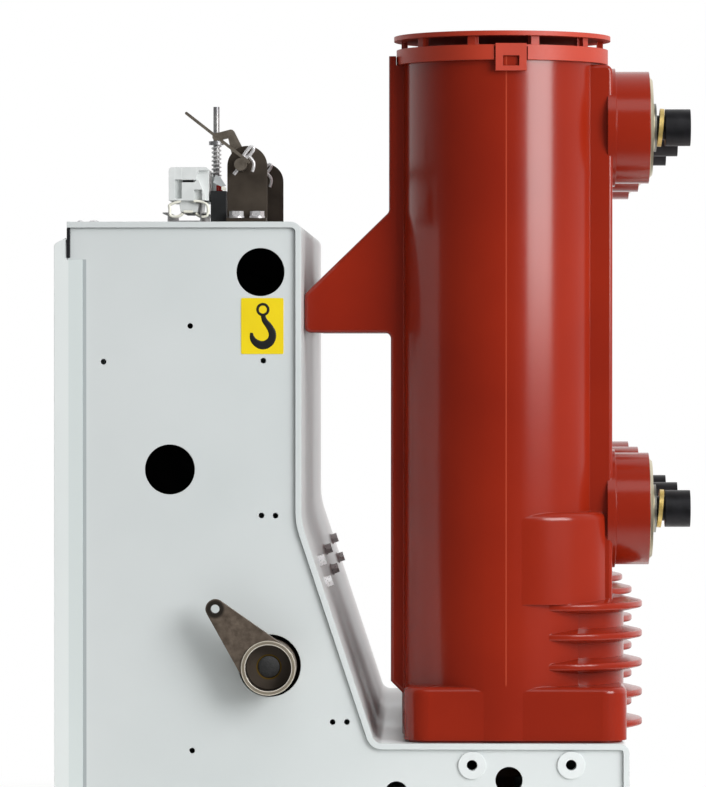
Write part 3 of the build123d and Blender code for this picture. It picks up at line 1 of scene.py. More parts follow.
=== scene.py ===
import math
import bmesh
import bpy
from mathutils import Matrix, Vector


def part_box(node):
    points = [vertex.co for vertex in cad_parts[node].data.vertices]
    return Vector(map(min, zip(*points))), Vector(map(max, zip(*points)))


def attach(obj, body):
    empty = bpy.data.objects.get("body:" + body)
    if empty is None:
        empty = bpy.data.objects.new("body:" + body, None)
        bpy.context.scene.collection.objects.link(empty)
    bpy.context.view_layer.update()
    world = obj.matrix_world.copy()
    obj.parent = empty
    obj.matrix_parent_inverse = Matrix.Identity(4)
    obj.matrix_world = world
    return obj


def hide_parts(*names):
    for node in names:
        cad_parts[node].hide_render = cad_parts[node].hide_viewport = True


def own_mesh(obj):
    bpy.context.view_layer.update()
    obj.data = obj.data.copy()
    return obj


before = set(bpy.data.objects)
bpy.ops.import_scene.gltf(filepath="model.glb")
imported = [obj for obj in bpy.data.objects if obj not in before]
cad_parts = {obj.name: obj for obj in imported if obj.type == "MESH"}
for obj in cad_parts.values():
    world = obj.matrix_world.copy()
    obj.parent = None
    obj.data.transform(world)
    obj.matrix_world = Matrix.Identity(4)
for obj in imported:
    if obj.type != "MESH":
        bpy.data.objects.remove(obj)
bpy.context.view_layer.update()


# Camera: a long lens on the near side, level with the upper part of the housing. The three poles and their
# terminals stand one behind the other, with little perspective.
picture_tall = 787
long_side_mm = 36.0
focal_px = 4615.0
eye = Vector((0.078, -3.973, 0.442))
depth_point_px = (445.0, 340.0)
picture_centre_px = (353.0, 393.5)
aim = Vector((
    (picture_centre_px[0] - depth_point_px[0]) / focal_px,
    1.0,
    (depth_point_px[1] - picture_centre_px[1]) / focal_px,
))
camera = bpy.data.objects.new("camera", bpy.data.cameras.new("camera"))
camera.data.lens = focal_px / picture_tall * long_side_mm
camera.data.sensor_width = long_side_mm
camera.data.clip_start = 0.1
camera.data.clip_end = 50.0
camera.rotation_mode = "QUATERNION"
camera.location = eye
camera.rotation_quaternion = aim.to_track_quat("-Z", "Y")
bpy.context.scene.collection.objects.link(camera)
bpy.context.scene.camera = camera
bpy.context.scene.view_settings.view_transform = "Standard"


# Studio: a pale painted floor that runs out into a white backdrop, one soft box at the front right, and a
# wider, weaker light high up in front. The camera's side of the room is dimmer, as the gloss of the poles
# shows.
floor_half = 12.0
floor_hex = "#F4F4F2"
speckle_hex = "#F1F1EE"
speckle_mm = 25.0
floor_rough = 0.9
floor_specular = 0.1
fade_start = 0.40
fade_end = 0.78
surround_light = 0.25
rear_light = 1.7
dim_side = 0.06
floor_turn_y = (0.0, 2.0)
sky_turn_y = (-0.5, 0.9)
box_place = Vector((1.42, -1.62, 1.02))
box_size = (1.05, 1.15)
box_watts = 32.0
over_place = Vector((0.3, -2.2, 2.6))
over_size = (2.4, 1.2)
over_watts = 12.0
object_middle = Vector((0.0, 0.0, 0.35))


def linear(hex_code):
    """Linear colour of an sRGB hex value, opaque."""
    channels = [int(hex_code[i:i + 2], 16) / 255 for i in (1, 3, 5)]
    return tuple(c / 12.92 if c <= 0.04045 else ((c + 0.055) / 1.055) ** 2.4 for c in channels) + (1.0,)


def node(tree, kind, inputs=None, **settings):
    """Add a shader node. An input is a value, or the socket that feeds it."""
    made = tree.nodes.new("ShaderNode" + kind)
    for name, value in settings.items():
        setattr(made, name, value)
    for key, value in (inputs or {}).items():
        if isinstance(value, bpy.types.NodeSocket):
            tree.links.new(value, made.inputs[key])
        else:
            made.inputs[key].default_value = value
    return made


def new_material(name):
    """A named material with its node tree and its shader."""
    material = bpy.data.materials.new(name)
    material.use_nodes = True
    return material, material.node_tree, material.node_tree.nodes["Principled BSDF"]


def new_object(name, mesh):
    """An object for a finished mesh, at the origin."""
    made = bpy.data.objects.new(name, mesh)
    bpy.context.scene.collection.objects.link(made)
    return made


def room_level(tree, place, start, end):
    """Brightness of the white room by place: white in view, and most at the rear right. Glossy rays see it dim
    on the camera's side, and white from the end value along Y."""
    rays = node(tree, "LightPath")
    spread = node(tree, "SeparateXYZ", {0: place})
    mirrored = node(tree, "MapRange", {0: spread.outputs["Y"], 1: start, 2: end, 3: dim_side, 4: 1.0},
                    interpolation_type="SMOOTHSTEP")
    corner = node(tree, "Math", {0: spread.outputs["X"], 1: spread.outputs["Y"]}, operation="ADD")
    plain = node(tree, "MapRange", {0: corner.outputs[0], 1: -end, 2: end, 3: surround_light, 4: rear_light},
                 interpolation_type="SMOOTHSTEP")
    lit = node(tree, "Mix", {0: rays.outputs["Is Glossy Ray"], 2: plain.outputs[0], 3: mirrored.outputs[0]},
               data_type="FLOAT")
    return node(tree, "Mix", {0: rays.outputs["Is Camera Ray"], 2: lit.outputs[0], 3: 1.0},
                data_type="FLOAT").outputs[0]


floor_bm = bmesh.new()
bmesh.ops.create_grid(floor_bm, x_segments=1, y_segments=1, size=floor_half)
floor_mesh = bpy.data.meshes.new("studio_floor")
floor_bm.to_mesh(floor_mesh)
floor_bm.free()
floor = new_object("studio_floor", floor_mesh)

# Matt painted floor: even and pale, so that only the object's soft shadow shows on it.
floor_paint, tree, shader = new_material("matt_floor_paint")
place = node(tree, "TexCoord").outputs["Object"]
reach = node(tree, "VectorMath", {0: place}, operation="LENGTH").outputs["Value"]
fade = node(tree, "MapRange", {0: reach, 1: fade_start, 2: fade_end}, interpolation_type="SMOOTHSTEP")
speckle = node(tree, "TexNoise", {"Vector": place, "Scale": 1000 / speckle_mm, "Detail": 3.0})
tone = node(tree, "Mix", {0: speckle.outputs["Fac"], 6: linear(floor_hex), 7: linear(speckle_hex)},
            data_type="RGBA")
tree.links.new(tone.outputs[2], shader.inputs["Base Color"])
shader.inputs["Roughness"].default_value = floor_rough
shader.inputs["Specular IOR Level"].default_value = floor_specular
white = node(tree, "Emission", {"Color": (1, 1, 1, 1), "Strength": room_level(tree, place, *floor_turn_y)})
blend = node(tree, "MixShader", {0: fade.outputs[0], 1: shader.outputs[0], 2: white.outputs[0]})
tree.links.new(blend.outputs[0], tree.nodes["Material Output"].inputs["Surface"])
floor.data.materials.append(floor_paint)

surround = bpy.data.worlds.new("white_surround")
surround.use_nodes = True
bpy.context.scene.world = surround
tree = surround.node_tree
toward = node(tree, "TexCoord").outputs["Generated"]
tree.nodes["Background"].inputs["Color"].default_value = (1, 1, 1, 1)
tree.links.new(room_level(tree, toward, *sky_turn_y), tree.nodes["Background"].inputs["Strength"])


def soft_light(name, place, size, watts):
    """A rectangular area light that faces the object."""
    lamp = bpy.data.lights.new(name, "AREA")
    lamp.shape = "RECTANGLE"
    lamp.size, lamp.size_y = size
    lamp.energy = watts
    made = bpy.data.objects.new(name, lamp)
    made.location = place
    made.rotation_mode = "QUATERNION"
    made.rotation_quaternion = (object_middle - place).to_track_quat("-Z", "Y")
    bpy.context.scene.collection.objects.link(made)


soft_light("soft_box", box_place, box_size, box_watts)
soft_light("over_light", over_place, over_size, over_watts)


# Housing: folded sheet steel about 2 mm thick with recessed side plates, welded bushes and a tray-shaped front
# cover, all powder coated pale grey. The cover comes from another batch and is a little whiter.
paint_cloud_mm = 160.0
paint_peel_mm = 1.6
paint_rough = (0.28, 0.34)
paint_relief_mm = 0.02
paint_edge_mm = 0.8
bush_places = ((0.0996, 0.1026), (0.1787, 0.1029))
bush_r = 0.0114
flange_x = -0.2225
flange_shadow_x = (-0.2117, -0.2085)
flange_top_z = 0.5063
cloud_ends = (0.3, 0.7)
grain_ends = (0.25, 0.75)
mask_soft = 0.0002
open_end = 1.0


def finish(name, light, dark, cloud_mm, grain_mm, rough, metallic=0.0, relief_mm=0.02, edge_mm=0.0):
    """A surface whose colour drifts between two tones, with a fine grain in its gloss and its relief. The edge
    size rounds the light on sharp edges. Returns the material, its tree, its shader, place and tone."""
    material, tree, shader = new_material(name)
    place = node(tree, "TexCoord").outputs["Object"]
    cloud = node(tree, "TexNoise", {"Vector": place, "Scale": 1000 / cloud_mm, "Detail": 3.0})
    drift = node(tree, "MapRange", {0: cloud.outputs["Fac"], 1: cloud_ends[0], 2: cloud_ends[1]})
    tone = node(tree, "Mix", {0: drift.outputs[0], 6: linear(dark), 7: linear(light)}, data_type="RGBA")
    grain = node(tree, "TexNoise", {"Vector": place, "Scale": 1000 / grain_mm, "Detail": 2.0})
    gloss = node(tree, "MapRange", {0: grain.outputs["Fac"], 1: grain_ends[0], 2: grain_ends[1], 3: rough[0],
                                    4: rough[1]})
    bump = node(tree, "Bump", {"Height": grain.outputs["Fac"], "Distance": relief_mm / 1000})
    if edge_mm:
        edge = node(tree, "Bevel", {"Radius": edge_mm / 1000}, samples=4)
        tree.links.new(edge.outputs[0], bump.inputs["Normal"])
    tree.links.new(tone.outputs[2], shader.inputs["Base Color"])
    tree.links.new(gloss.outputs[0], shader.inputs["Roughness"])
    tree.links.new(bump.outputs[0], shader.inputs["Normal"])
    shader.inputs["Metallic"].default_value = metallic
    return material, tree, shader, place, tone.outputs[2]


def dress(material, *names):
    """Give CAD nodes this material."""
    for name in names:
        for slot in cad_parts[name].material_slots:
            slot.material = material


def span(tree, value, low, high, soft=mask_soft):
    """Mask that is 1 where a value lies between two limits."""
    above = node(tree, "MapRange", {0: value, 1: low - soft, 2: low + soft})
    below = node(tree, "MapRange", {0: value, 1: high - soft, 2: high + soft, 3: 1.0, 4: 0.0})
    return node(tree, "Math", {0: above.outputs[0], 1: below.outputs[0]}, operation="MULTIPLY").outputs[0]


def from_axis(tree, place, centre):
    """Distance from an axis along Y through (x, z)."""
    moved = node(tree, "VectorMath", {0: place, 1: (centre[0], 0, centre[1])}, operation="SUBTRACT")
    flat = node(tree, "VectorMath", {0: moved.outputs[0], 1: (1, 0, 1)}, operation="MULTIPLY")
    return node(tree, "VectorMath", {0: flat.outputs[0]}, operation="LENGTH").outputs["Value"]


def repaint(tree, shader, mask, under, over_hex):
    """Lay a second colour over the first where the mask is 1, and return the joined colour."""
    over = node(tree, "Mix", {0: mask, 6: under, 7: linear(over_hex)}, data_type="RGBA")
    tree.links.new(over.outputs[2], shader.inputs["Base Color"])
    return over.outputs[2]


# Powder coat, pale grey: a satin skin with a soft orange peel, slightly uneven, and a painted shadow by the
# flange.
grey_coat, tree, shader, place, tone = finish(
    "pale_grey_powder_coat", "#D5DADA", "#CDD3D3", paint_cloud_mm, paint_peel_mm, paint_rough,
    relief_mm=paint_relief_mm, edge_mm=paint_edge_mm)
for bush in bush_places:
    tone = repaint(tree, shader, span(tree, from_axis(tree, place, bush), -open_end, bush_r), tone, "#DADFDF")
# Painted shadow: a darker grey band down the sheets at the flange's edge, below its top, for the flange's
# shadow.
spread = node(tree, "SeparateXYZ", {0: place})
flange_shadow_line = node(tree, "Math", {0: span(tree, spread.outputs["X"], *flange_shadow_x),
                               1: span(tree, spread.outputs["Z"], -open_end, flange_top_z)},
                operation="MULTIPLY")
repaint(tree, shader, flange_shadow_line.outputs[0], tone, "#A6ACAE")
dress(grey_coat, "wrap_panel", "side_plate_near", "side_plate_far", "base_plate")

# Powder coat, off-white: the same skin on the cover, a little cleaner and less grey.
white_coat, tree, shader, place, tone = finish(
    "off_white_powder_coat", "#E6EBEA", "#DFE5E4", paint_cloud_mm, paint_peel_mm, paint_rough,
    relief_mm=paint_relief_mm, edge_mm=paint_edge_mm)
across = node(tree, "SeparateXYZ", {0: place}).outputs["X"]
repaint(tree, shader, span(tree, across, flange_x, open_end), tone, "#D7DFDE")
dress(white_coat, "front_cover")


# Lifting mark: a yellow vinyl sticker under the lifting hole, with a printed black hook hanging in a ring. It
# says where a crane's hook goes.
label_low = (-0.0847, 0.4308)
label_high = (-0.0508, 0.4755)
label_y = -0.2922
label_t = 0.0003
label_corner = 0.0012
ring_centre = (-0.0673, 0.4663)
ring_mid_r = 0.0044
ring_wire = 0.0011
hook_path = ((-0.0673, 0.4627, 0.0019), (-0.0667, 0.4580, 0.0022), (-0.0626, 0.4536, 0.0028),
             (-0.0590, 0.4470, 0.0031), (-0.0608, 0.4405, 0.0034), (-0.0672, 0.4370, 0.0037),
             (-0.0738, 0.4400, 0.0029), (-0.0765, 0.4448, 0.0019), (-0.0763, 0.4478, 0.0012))
print_t = 0.00012
ring_steps = 12
straight = 0.99


def prism(bm, outline, near_y, far_y):
    """Add a straight prism along Y with an outline of (x, z) corners to a bmesh."""
    corners = [bm.verts.new((x, near_y, z)) for x, z in outline]
    face = bm.faces.new(corners)
    grown = bmesh.ops.extrude_face_region(bm, geom=[face])
    moved = [item for item in grown["geom"] if isinstance(item, bmesh.types.BMVert)]
    bmesh.ops.translate(bm, verts=moved, vec=(0, far_y - near_y, 0))
    faces = list({f for v in corners + moved for f in v.link_faces})
    bmesh.ops.recalc_face_normals(bm, faces=faces)


def corner_round(bm, radius, segments, limit=None):
    """Round the edges along Y, those whose middle is within the limit function only where it is given."""
    edges = [e for e in bm.edges if abs((e.verts[0].co - e.verts[1].co).normalized().y) > straight
             and (limit is None or limit((e.verts[0].co + e.verts[1].co) / 2))]
    bmesh.ops.bevel(bm, geom=edges, offset=radius, offset_type="OFFSET", segments=segments, profile=0.5,
                    affect="EDGES", material=-1, clamp_overlap=True)


def solid(name, bm, material, body):
    """Finish a bmesh as an object of one material that rides on a body."""
    mesh = bpy.data.meshes.new(name)
    bm.to_mesh(mesh)
    bm.free()
    mesh.materials.append(material)
    made = new_object(name, mesh)
    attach(made, body)
    return made


def rod(name, points, material, body, cyclic=False, flatten=None):
    """A round bar along (x, y, z, radius) points, made a mesh; flatten squashes it along Y about a depth."""
    curve = bpy.data.curves.new(name, "CURVE")
    curve.dimensions = "3D"
    curve.bevel_depth = 1.0
    curve.bevel_resolution = 3
    curve.resolution_u = 6
    curve.use_fill_caps = True
    line = curve.splines.new("NURBS")
    line.points.add(len(points) - 1)
    for point, (x, y, z, radius) in zip(line.points, points):
        point.co = (x, y, z, 1.0)
        point.radius = radius
    line.order_u = 3
    line.use_cyclic_u = cyclic
    line.use_endpoint_u = not cyclic
    drawn = bpy.data.objects.new(name + "_line", curve)
    mesh = bpy.data.meshes.new_from_object(drawn)
    bpy.data.objects.remove(drawn)
    if flatten is not None:
        depth, share = flatten
        for vert in mesh.vertices:
            vert.co.y = depth + (vert.co.y - depth) * share
    mesh.name = name
    for face in mesh.polygons:
        face.use_smooth = True
    mesh.materials.clear()
    mesh.materials.append(material)
    made = new_object(name, mesh)
    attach(made, body)
    return made


# Yellow vinyl: smooth, slightly glossy film with a faint unevenness of the ink.
yellow_vinyl = finish(
    "yellow_vinyl_film", "#F0D616", "#E8CC14", 30.0, 2.0, (0.28, 0.36), relief_mm=0.004)[0]
# Black screen print: a thin matt ink layer.
black_ink = finish(
    "black_screen_print", "#161616", "#0D0D0D", 12.0, 1.0, (0.45, 0.6), relief_mm=0.003)[0]

label_bm = bmesh.new()
prism(label_bm, ((label_low[0], label_low[1]), (label_high[0], label_low[1]), (label_high[0], label_high[1]),
                 (label_low[0], label_high[1])), label_y - label_t, label_y)
corner_round(label_bm, label_corner, 4)
solid("lifting_label", label_bm, yellow_vinyl, "breaker_frame")

print_y = label_y - label_t
hook_widest = max(r for x, z, r in hook_path)
hook = rod("lifting_hook_print", [(x, print_y, z, r) for x, z, r in hook_path], black_ink, "breaker_frame",
           flatten=(print_y, print_t / hook_widest))
ring_turns = [2 * math.pi * step / ring_steps for step in range(ring_steps)]
ring_corners = [(ring_centre[0] + ring_mid_r * math.cos(turn), print_y,
                 ring_centre[1] + ring_mid_r * math.sin(turn), ring_wire) for turn in ring_turns]
ring = rod("lifting_ring_print", ring_corners, black_ink, "breaker_frame", cyclic=True,
           flatten=(print_y, print_t / ring_wire))


# Painted shade: a thin black strip at the top of each side, in the gap between the cover and the bent edge of
# the housing, where that gap lies in shade.
gap_shade_corners = ((-0.2238, 0.5076), (-0.2214, 0.5076), (-0.2214, 0.5317), (-0.2238, 0.5317))
gap_shade_depths = ((-0.2953, -0.2905), (0.2905, 0.2953))
gap_shade_corner = 0.0008

# Black sheet for the painted shade in the gap: matt, with a fine porous relief.
gap_shade_sheet = finish(
    "painted_gap_shade", "#15151C", "#0E0E14", 6.0, 1.0, (0.8, 0.95), relief_mm=0.1)[0]
for side, (low_y, high_y) in zip(("near", "far"), gap_shade_depths):
    gap_shade_bm = bmesh.new()
    prism(gap_shade_bm, gap_shade_corners, low_y, high_y)
    corner_round(gap_shade_bm, gap_shade_corner, 3)
    solid(f"cover_gap_shade_{side}", gap_shade_bm, gap_shade_sheet, "breaker_frame")


# Cover screws: low domed heads of zinc plated steel, two at each end of the housing's top edge, that fix the
# cover.
screw_spots = ((-0.2155, 0.0028, 0.0022), (-0.2044, 0.0046, 0.0022))
screw_depths = (-0.262, 0.262)
top_z = 0.5364
head_steps = 32
merge_gap = 1e-6


def round_body(name, centre, profile, material, body):
    """A turned piece: its (radius, height) profile spun about an upright axis through its centre."""
    bm = bmesh.new()
    line = [bm.verts.new((radius, 0, height)) for radius, height in profile]
    edges = [bm.edges.new(pair) for pair in zip(line, line[1:])]
    bmesh.ops.spin(bm, geom=line + edges, cent=(0, 0, 0), axis=(0, 0, 1), angle=2 * math.pi, steps=head_steps,
                   use_merge=True)
    bmesh.ops.remove_doubles(bm, verts=bm.verts, dist=merge_gap)
    bmesh.ops.recalc_face_normals(bm, faces=bm.faces)
    bmesh.ops.translate(bm, verts=bm.verts, vec=centre)
    for face in bm.faces:
        face.smooth = len(face.verts) == 4
    return solid(name, bm, material, body)


# Bright zinc: electroplated steel, silvery, with a soft gloss and faint darker clouds.
bright_zinc = finish(
    "bright_zinc_plate", "#F4F3F4", "#DAD9DA", 14.0, 1.6, (0.24, 0.36), metallic=0.5, relief_mm=0.001)[0]
dome = ((0.0, 1.0), (0.62, 0.86), (1.0, 0.3), (1.0, 0.0), (0.0, 0.0))
for side, depth in zip(("near", "far"), screw_depths):
    for step, (x, radius, height) in enumerate(screw_spots):
        head = round_body(f"cover_screw_{side}_{step}", Vector((x, depth, top_z)),
                          [(radius * r, height * h) for r, h in dome], bright_zinc, "breaker_frame")


# Slope bolts and hangers: zinc plated hexagon bolts go through the sloped wall into cast iron bearing hangers
# that carry the main shaft. The castings, the gear motor's case among them, are grey and matt.
dress(bright_zinc, "slope_bolts")
# Grey cast iron, primed: matt and grainy from the sand mould.
cast_grey = finish(
    "primed_cast_iron", "#4B4D4F", "#3A3C3E", 25.0, 1.4, (0.6, 0.8), relief_mm=0.12, edge_mm=0.6)[0]
dress(cast_grey, "bearing_hangers", "gear_motor")


# Poles: epoxy resin cast round the switching parts under pressure, brick red and glossy, with the fine light
# line where the two halves of the mould met. The skirts below the belly lengthen the path for leakage current.
parting_x = 0.1268
parting_half = 0.0005
parting_end_soft = 0.001
parting_tilt = (0.9, 0.97)
foot_top_z = 0.166
mould_flow_mm = 120.0
resin_grain_mm = 2.2

# Cast epoxy resin, brick red: deep colour under a glossy, faintly wavy skin, lighter along the parting line.
red_epoxy, tree, shader, place, tone = finish(
    "cast_red_epoxy", "#8F240F", "#841F0D", mould_flow_mm, resin_grain_mm, (0.17, 0.21), relief_mm=0.001,
    edge_mm=1.0)
across = node(tree, "SeparateXYZ", {0: place})
parting = span(tree, across.outputs["X"], parting_x - parting_half, parting_x + parting_half)
above_foot = span(tree, across.outputs["Z"], foot_top_z, open_end, parting_end_soft)
line = node(tree, "Math", {0: parting, 1: above_foot}, operation="MULTIPLY")
outward = node(tree, "SeparateXYZ", {0: node(tree, "NewGeometry").outputs["Normal"]})
sideways = node(tree, "Math", {0: outward.outputs["Y"]}, operation="ABSOLUTE")
flat_side = node(tree, "MapRange", {0: sideways.outputs[0], 1: parting_tilt[0], 2: parting_tilt[1]})
seam_mask = node(tree, "Math", {0: line.outputs[0], 1: flat_side.outputs[0]}, operation="MULTIPLY")
repaint(tree, shader, seam_mask.outputs[0], tone, "#A8402A")
dress(red_epoxy, "pole_near", "pole_middle", "pole_far")


# Pole caps: lids moulded of the same red resin and clipped over the rim of each pole, with vents between the
# disc and the band.
# Moulded red resin: satin, more matt than the poles and slightly mottled.
red_lid = finish(
    "moulded_red_resin", "#B8381E", "#A93017", 60.0, 1.6, (0.42, 0.52), relief_mm=0.003, edge_mm=0.6)[0]
dress(red_lid, "cap_near", "cap_middle", "cap_far")


# Contact faces: copper bars turned flat at the end and tinned, each with a raised seat, a black cap screw and a
# yellow passivated split washer.
pitch_y = 0.210
pitch_z = 0.310
lower_z = 0.3048
ring_mm = 1.1
ring_relief_mm = 0.02
seat_x = (0.2479, 0.2560)

# Tinned copper: creamy silver with turning rings round each terminal's own centre, and a greyer seat.
tinned, tree, shader, place, tone = finish(
    "turned_tinned_copper", "#E6DDC6", "#CFC4A6", 18.0, 1.0, (0.3, 0.44), metallic=1.0)
parts = node(tree, "SeparateXYZ", {0: place})
local_y = node(tree, "Math", {0: parts.outputs["Y"], 1: -pitch_y / 2, 2: pitch_y / 2}, operation="WRAP")
local_z = node(tree, "Math", {0: parts.outputs["Z"], 1: lower_z - pitch_z / 2, 2: lower_z + pitch_z / 2},
               operation="WRAP")
down = node(tree, "Math", {0: local_z.outputs[0], 1: lower_z}, operation="SUBTRACT")
spot = node(tree, "CombineXYZ", {1: local_y.outputs[0], 2: down.outputs[0]})
radius = node(tree, "VectorMath", {0: spot.outputs[0]}, operation="LENGTH")
rings = node(tree, "Math", {0: radius.outputs["Value"], 1: 2 * math.pi * 1000 / ring_mm}, operation="MULTIPLY")
wave = node(tree, "Math", {0: rings.outputs[0]}, operation="SINE")
turned = node(tree, "Bump", {"Height": wave.outputs[0], "Distance": ring_relief_mm / 1000})
tree.links.new(turned.outputs[0], shader.inputs["Normal"])
repaint(tree, shader, span(tree, parts.outputs["X"], *seat_x), tone, "#8F8F8B")
for level in ("upper", "lower"):
    dress(tinned, *(f"{level}_terminal_{name}" for name in ("near", "middle", "far")))

# Black oxide: blued and oiled screw steel, nearly black, with soft light on its rounded edges.
black_oxide = finish(
    "black_oxide_steel", "#242428", "#17171A", 8.0, 1.0, (0.35, 0.5), metallic=0.55, relief_mm=0.02,
    edge_mm=0.6)[0]
dress(black_oxide, "terminal_screws")
# Yellow passivated zinc: brassy, drifting between a light and a darker gold.
yellow_zinc = finish(
    "yellow_passivated_zinc", "#E6CC86", "#C4A75C", 6.0, 0.9, (0.28, 0.42), metallic=0.7, relief_mm=0.002)[0]
dress(yellow_zinc, "terminal_washers")


# Inside the poles: ceramic vacuum bottles, copper stems and insulating push rods with their contact springs,
# then the rockers and pull rods under the shelf. They show only when a pole is opened.
bottle_metal_z = ((0.3201, 0.3272), (0.4272, 0.4873), (0.5806, 0.64))
spring_z = (0.094, 0.160)

# Glazed alumina with nickel plated end caps and shield: white and glossy between silver bands.
alumina, tree, shader, place, tone = finish(
    "glazed_alumina", "#EEEBE2", "#E2DED2", 40.0, 2.0, (0.12, 0.2), relief_mm=0.01)
height = node(tree, "SeparateXYZ", {0: place}).outputs["Z"]
for low, high in bottle_metal_z:
    tone = repaint(tree, shader, span(tree, height, low, high), tone, "#A7A5A0")
dress(alumina, "interrupter_near", "interrupter_middle", "interrupter_far")
# Bare copper: warm and slightly darkened where it was handled.
bare_copper = finish(
    "bare_copper", "#D9926B", "#A8613F", 15.0, 1.0, (0.25, 0.42), metallic=1.0, relief_mm=0.01)[0]
dress(bare_copper, "moving_stem_near", "moving_stem_middle", "moving_stem_far")
# Filled epoxy rod: brown and satin, with dark oiled steel where the contact spring sits.
brown_rod, tree, shader, place, tone = finish(
    "filled_epoxy_rod", "#6E4A2C", "#573921", 22.0, 1.3, (0.35, 0.5), relief_mm=0.04)
height = node(tree, "SeparateXYZ", {0: place}).outputs["Z"]
repaint(tree, shader, span(tree, height, *spring_z), tone, "#3A3B3D")
dress(brown_rod, "push_rod_near", "push_rod_middle", "push_rod_far")
# Plain zinc on the linkage: duller than the bolts, with a greyish bloom.
dull_zinc = finish(
    "dull_zinc_plate", "#B9B8B6", "#97979A", 20.0, 1.4, (0.34, 0.5), metallic=0.7, relief_mm=0.003)[0]
for name in ("near", "middle", "far"):
    dress(dull_zinc, f"rocker_{name}", f"pull_rod_{name}")
dress(dull_zinc, "rocker_axle", "trip_shaft", "close_shaft", "plunger_bar", "terminal_rail")


# Main shaft: a thick steel tube with a welded hand lever, browned by its phosphate coat. The end of the tube is
# turned bright, and a drilled plate closes its bore.
shaft_axis = (-0.062, 0.182)
tube_wall = (0.0180, 0.0224)
tube_rims = ((0.0180, 0.0190), (0.0209, 0.0224))
plug_ring = (0.0090, 0.0101)
plug_r = 0.0178
plug_back_y = -0.2
bore_skin_r = 0.0186
lever_eye = (-0.1042, 0.2288)
near_end_y = -0.3213
rim_soft = 0.0001
eye_r = 0.0072
eye_soft = 0.001
eye_back_y = -0.3

# Phosphated steel: dark grey-brown and finely speckled, bright on the turned end with painted highlights on its
# rims, and blackish with painted shade round the lever's eye, in the plate's drilled centre and in the bore.
phosphated, tree, shader, place, tone = finish(
    "phosphated_steel", "#8A7C6E", "#64584D", 6.0, 2.4, (0.3, 0.5), metallic=0.6, relief_mm=0.12, edge_mm=0.6)
depth = node(tree, "SeparateXYZ", {0: place}).outputs["Y"]
near_end = span(tree, depth, -open_end, near_end_y)
from_shaft = from_axis(tree, place, shaft_axis)
# The tube's turned end. Its two rims are bright turned metal, painted near white as a highlight on their edges.
for limits, over_hex in ((tube_wall, "#A79C8A"), (tube_rims[0], "#FFF8EA"), (tube_rims[1], "#EFE7D6")):
    end_ring = node(tree, "Math", {0: span(tree, from_shaft, *limits, rim_soft), 1: near_end},
                    operation="MULTIPLY")
    tone = repaint(tree, shader, end_ring.outputs[0], tone, over_hex)
# The plate's face and its brass ring keep their own colours. The drilled centre and the bore's skin are painted
# shade.
for limits, depths, over_hex in (((-open_end, plug_r), (-open_end, plug_back_y), "#6A5F54"),
                                 ((-open_end, plug_ring[1]), (-open_end, open_end), "#2A1B0E"),
                                 (plug_ring, (-open_end, plug_back_y), "#84692A"),
                                 ((plug_r, bore_skin_r), (near_end_y, open_end), "#1B1209")):
    zone = node(tree, "Math", {0: span(tree, from_shaft, *limits), 1: span(tree, depth, *depths)},
                operation="MULTIPLY")
    tone = repaint(tree, shader, zone.outputs[0], tone, over_hex)
# Painted shade in and round the lever's eye.
round_eye = span(tree, from_axis(tree, place, lever_eye), -open_end, eye_r, eye_soft)
eye_painted_shade = node(tree, "Math", {0: round_eye, 1: span(tree, depth, -open_end, eye_back_y)},
                operation="MULTIPLY")
repaint(tree, shader, eye_painted_shade.outputs[0], tone, "#3B352F")
dress(phosphated, "main_shaft", "charging_shaft")


# Spring mechanism: a frame of dark phosphated plates carries the charging shaft, the releases, the auxiliary
# switch and two tension springs of oiled wire.
# Dark phosphate coat: nearly black sheet, matt and finely mottled.
dark_sheet = finish(
    "dark_phosphated_sheet", "#232425", "#18191A", 18.0, 1.2, (0.55, 0.7), metallic=0.3, relief_mm=0.03,
    edge_mm=0.4)[0]
dress(dark_sheet, "mechanism_frame")
# Oiled spring wire: blackish blue steel with a wet sheen.
oiled_wire = finish(
    "oiled_spring_wire", "#3C3F44", "#26282C", 10.0, 1.0, (0.25, 0.4), metallic=1.0, relief_mm=0.01)[0]
dress(oiled_wire, "opening_spring", "closing_spring")
# Black moulding: glass-filled nylon, matt and faintly grained.
black_nylon = finish(
    "black_glass_filled_nylon", "#1D1F21", "#131415", 12.0, 1.2, (0.42, 0.58), relief_mm=0.03, edge_mm=0.5)[0]
dress(black_nylon, "release_coils", "aux_switch", "signal_switch")


# Buttons and indicators on the front: plain moulded caps that move in the cover's holes, and two painted flags
# behind its windows, with no words.
# Moulded red and green ABS: even, glossy colour with a faint moulding texture.
red_abs = finish(
    "red_moulded_abs", "#C32118", "#B01C14", 9.0, 1.0, (0.22, 0.32), relief_mm=0.01, edge_mm=0.5)[0]
dress(red_abs, "open_button", "switch_button")
green_abs = finish(
    "green_moulded_abs", "#1F8A3C", "#197532", 9.0, 1.0, (0.22, 0.32), relief_mm=0.01, edge_mm=0.5)[0]
dress(green_abs, "close_button")
# Painted flags: satin enamel, grey and yellow.
grey_flag = finish(
    "grey_satin_enamel", "#B7BBBC", "#A8ACAD", 14.0, 1.2, (0.35, 0.48), relief_mm=0.02, edge_mm=0.4)[0]
dress(grey_flag, "position_indicator")
yellow_flag = finish(
    "yellow_satin_enamel", "#E7B81F", "#D6A819", 14.0, 1.2, (0.35, 0.48), relief_mm=0.02, edge_mm=0.4)[0]
dress(yellow_flag, "spring_indicator")


